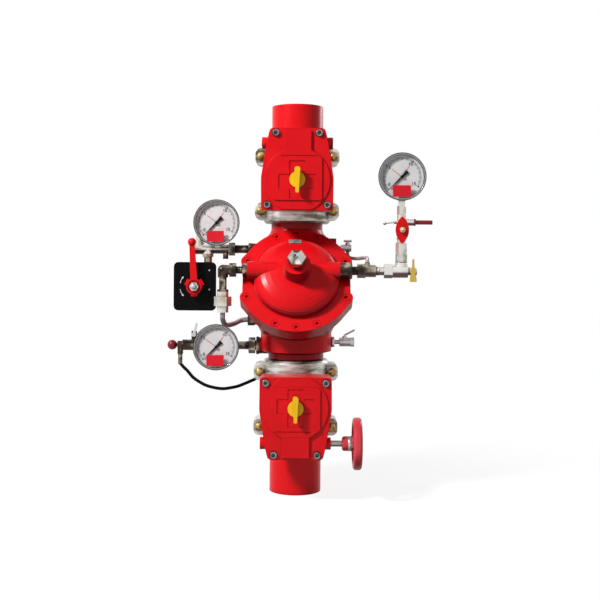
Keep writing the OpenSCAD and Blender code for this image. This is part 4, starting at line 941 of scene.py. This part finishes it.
def make_spring():
    steps = 24
    sides = 8
    count = SPRING_TURNS * steps
    length = SPRING_END - SPRING_START
    wire_angles = [2 * math.pi * j / sides for j in range(sides)]
    build = bmesh.new()
    rings = []
    for i in range(count + 1):
        a = 2 * math.pi * i / steps
        radial = math.cos(a) * ACROSS + math.sin(a) * COVER_UP
        centre = COVER_MIDDLE + SPRING_R * radial + COVER_OUT * (SPRING_START + length * i / count)
        spokes = [math.cos(b) * radial + math.sin(b) * COVER_OUT for b in wire_angles]
        rings.append([build.verts.new(centre + SPRING_WIRE_R * spoke) for spoke in spokes])
    for low, high in zip(rings, rings[1:]):
        join_rings(build, low, high)
    build.faces.new(rings[0])
    build.faces.new(rings[-1])
    spring = smooth(piece("return_spring", build, STEEL, "station"))
    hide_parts("clapper_spring")
    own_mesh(spring)


# Plates
COVER_PLATE_PLACE = (-0.0035, -0.1064, 0.5533)
COVER_PLATE_NORMAL = (0, -0.448, 0.894)
COVER_PLATE_SIZE = (0.027, 0.016, 0.0012)
PLATE_CORNER = 0.0022
ARROW_R = 0.0325
ARROW_WIDTH = 0.0014
ARROW_HEAD_WIDTH = 3.2 * ARROW_WIDTH
ARROW_HEAD_DEGREES = 9
ARROWS = [(-78, -48), (-102, -132)]


def bare_plate(name, centre, normal, width, height, thick):
    """Small blank plate with rounded corners and a raised border, on a face with the normal given.
    Its section holds how far the outline draws in, and the height above that face."""
    out = Vector(normal).normalized()
    up = out.cross(ACROSS).normalized()
    build = bmesh.new()
    rings = []
    section = ((0, -0.0012), (0, thick - 0.0002), (0.0002, thick), (0.0010, thick),
               (0.0013, thick - 0.0003))
    for shrink, lift in section:
        corners = rounded_box(width - 2 * shrink, height - 2 * shrink, PLATE_CORNER - shrink)
        middle = Vector(centre) + out * lift
        rings.append([build.verts.new(middle + ACROSS * u + up * v) for u, v in corners])
    build.faces.new(rings[0])
    build.faces.new(rings[-1])
    for low, high in zip(rings, rings[1:]):
        join_rings(build, low, high)
    piece(name, build, STEEL, "station")


def plate_face(u, v, w):
    """Point on the alarm cock's plate: u to the right, v up, w towards the front."""
    return (COCK_X + u, PLATE_FRONT - w, COCK_Z + v)


def curved_arrow(build, start, end):
    """Arc from start to end, in degrees clockwise from the top, with its head at end."""
    steps = 8
    neck = end - math.copysign(ARROW_HEAD_DEGREES, end - start)
    bends = [start + (neck - start) * i / steps for i in range(steps + 1)]
    outer = ARROW_R + ARROW_WIDTH / 2
    inner = ARROW_R - ARROW_WIDTH / 2
    for a, b in zip(bends, bends[1:]):
        corners = [clock(a, outer), clock(b, outer), clock(b, inner), clock(a, inner)]
        flat_prism(build, plate_face, corners, 0)
    barb = ARROW_HEAD_WIDTH / 2
    head = [clock(neck, ARROW_R + barb), clock(end, ARROW_R), clock(neck, ARROW_R - barb)]
    flat_prism(build, plate_face, head, 0)


def make_plates():
    bare_plate("cover_plate", COVER_PLATE_PLACE, COVER_PLATE_NORMAL, *COVER_PLATE_SIZE)
    build = bmesh.new()
    for start, end in ARROWS:
        curved_arrow(build, start, end)
    piece("plate_arrows", build, WHITE_PRINT, "station")


set_camera()
dress_nodes()
make_hose()
for gauge in GAUGES:
    dial_print(gauge)
for gauge in GAUGES:
    gauge_label(gauge)
make_sleeves()
make_fasteners()
make_trim()
make_spring()
make_plates()
set_light()
set_floor()

scene.view_settings.view_transform = "Standard"
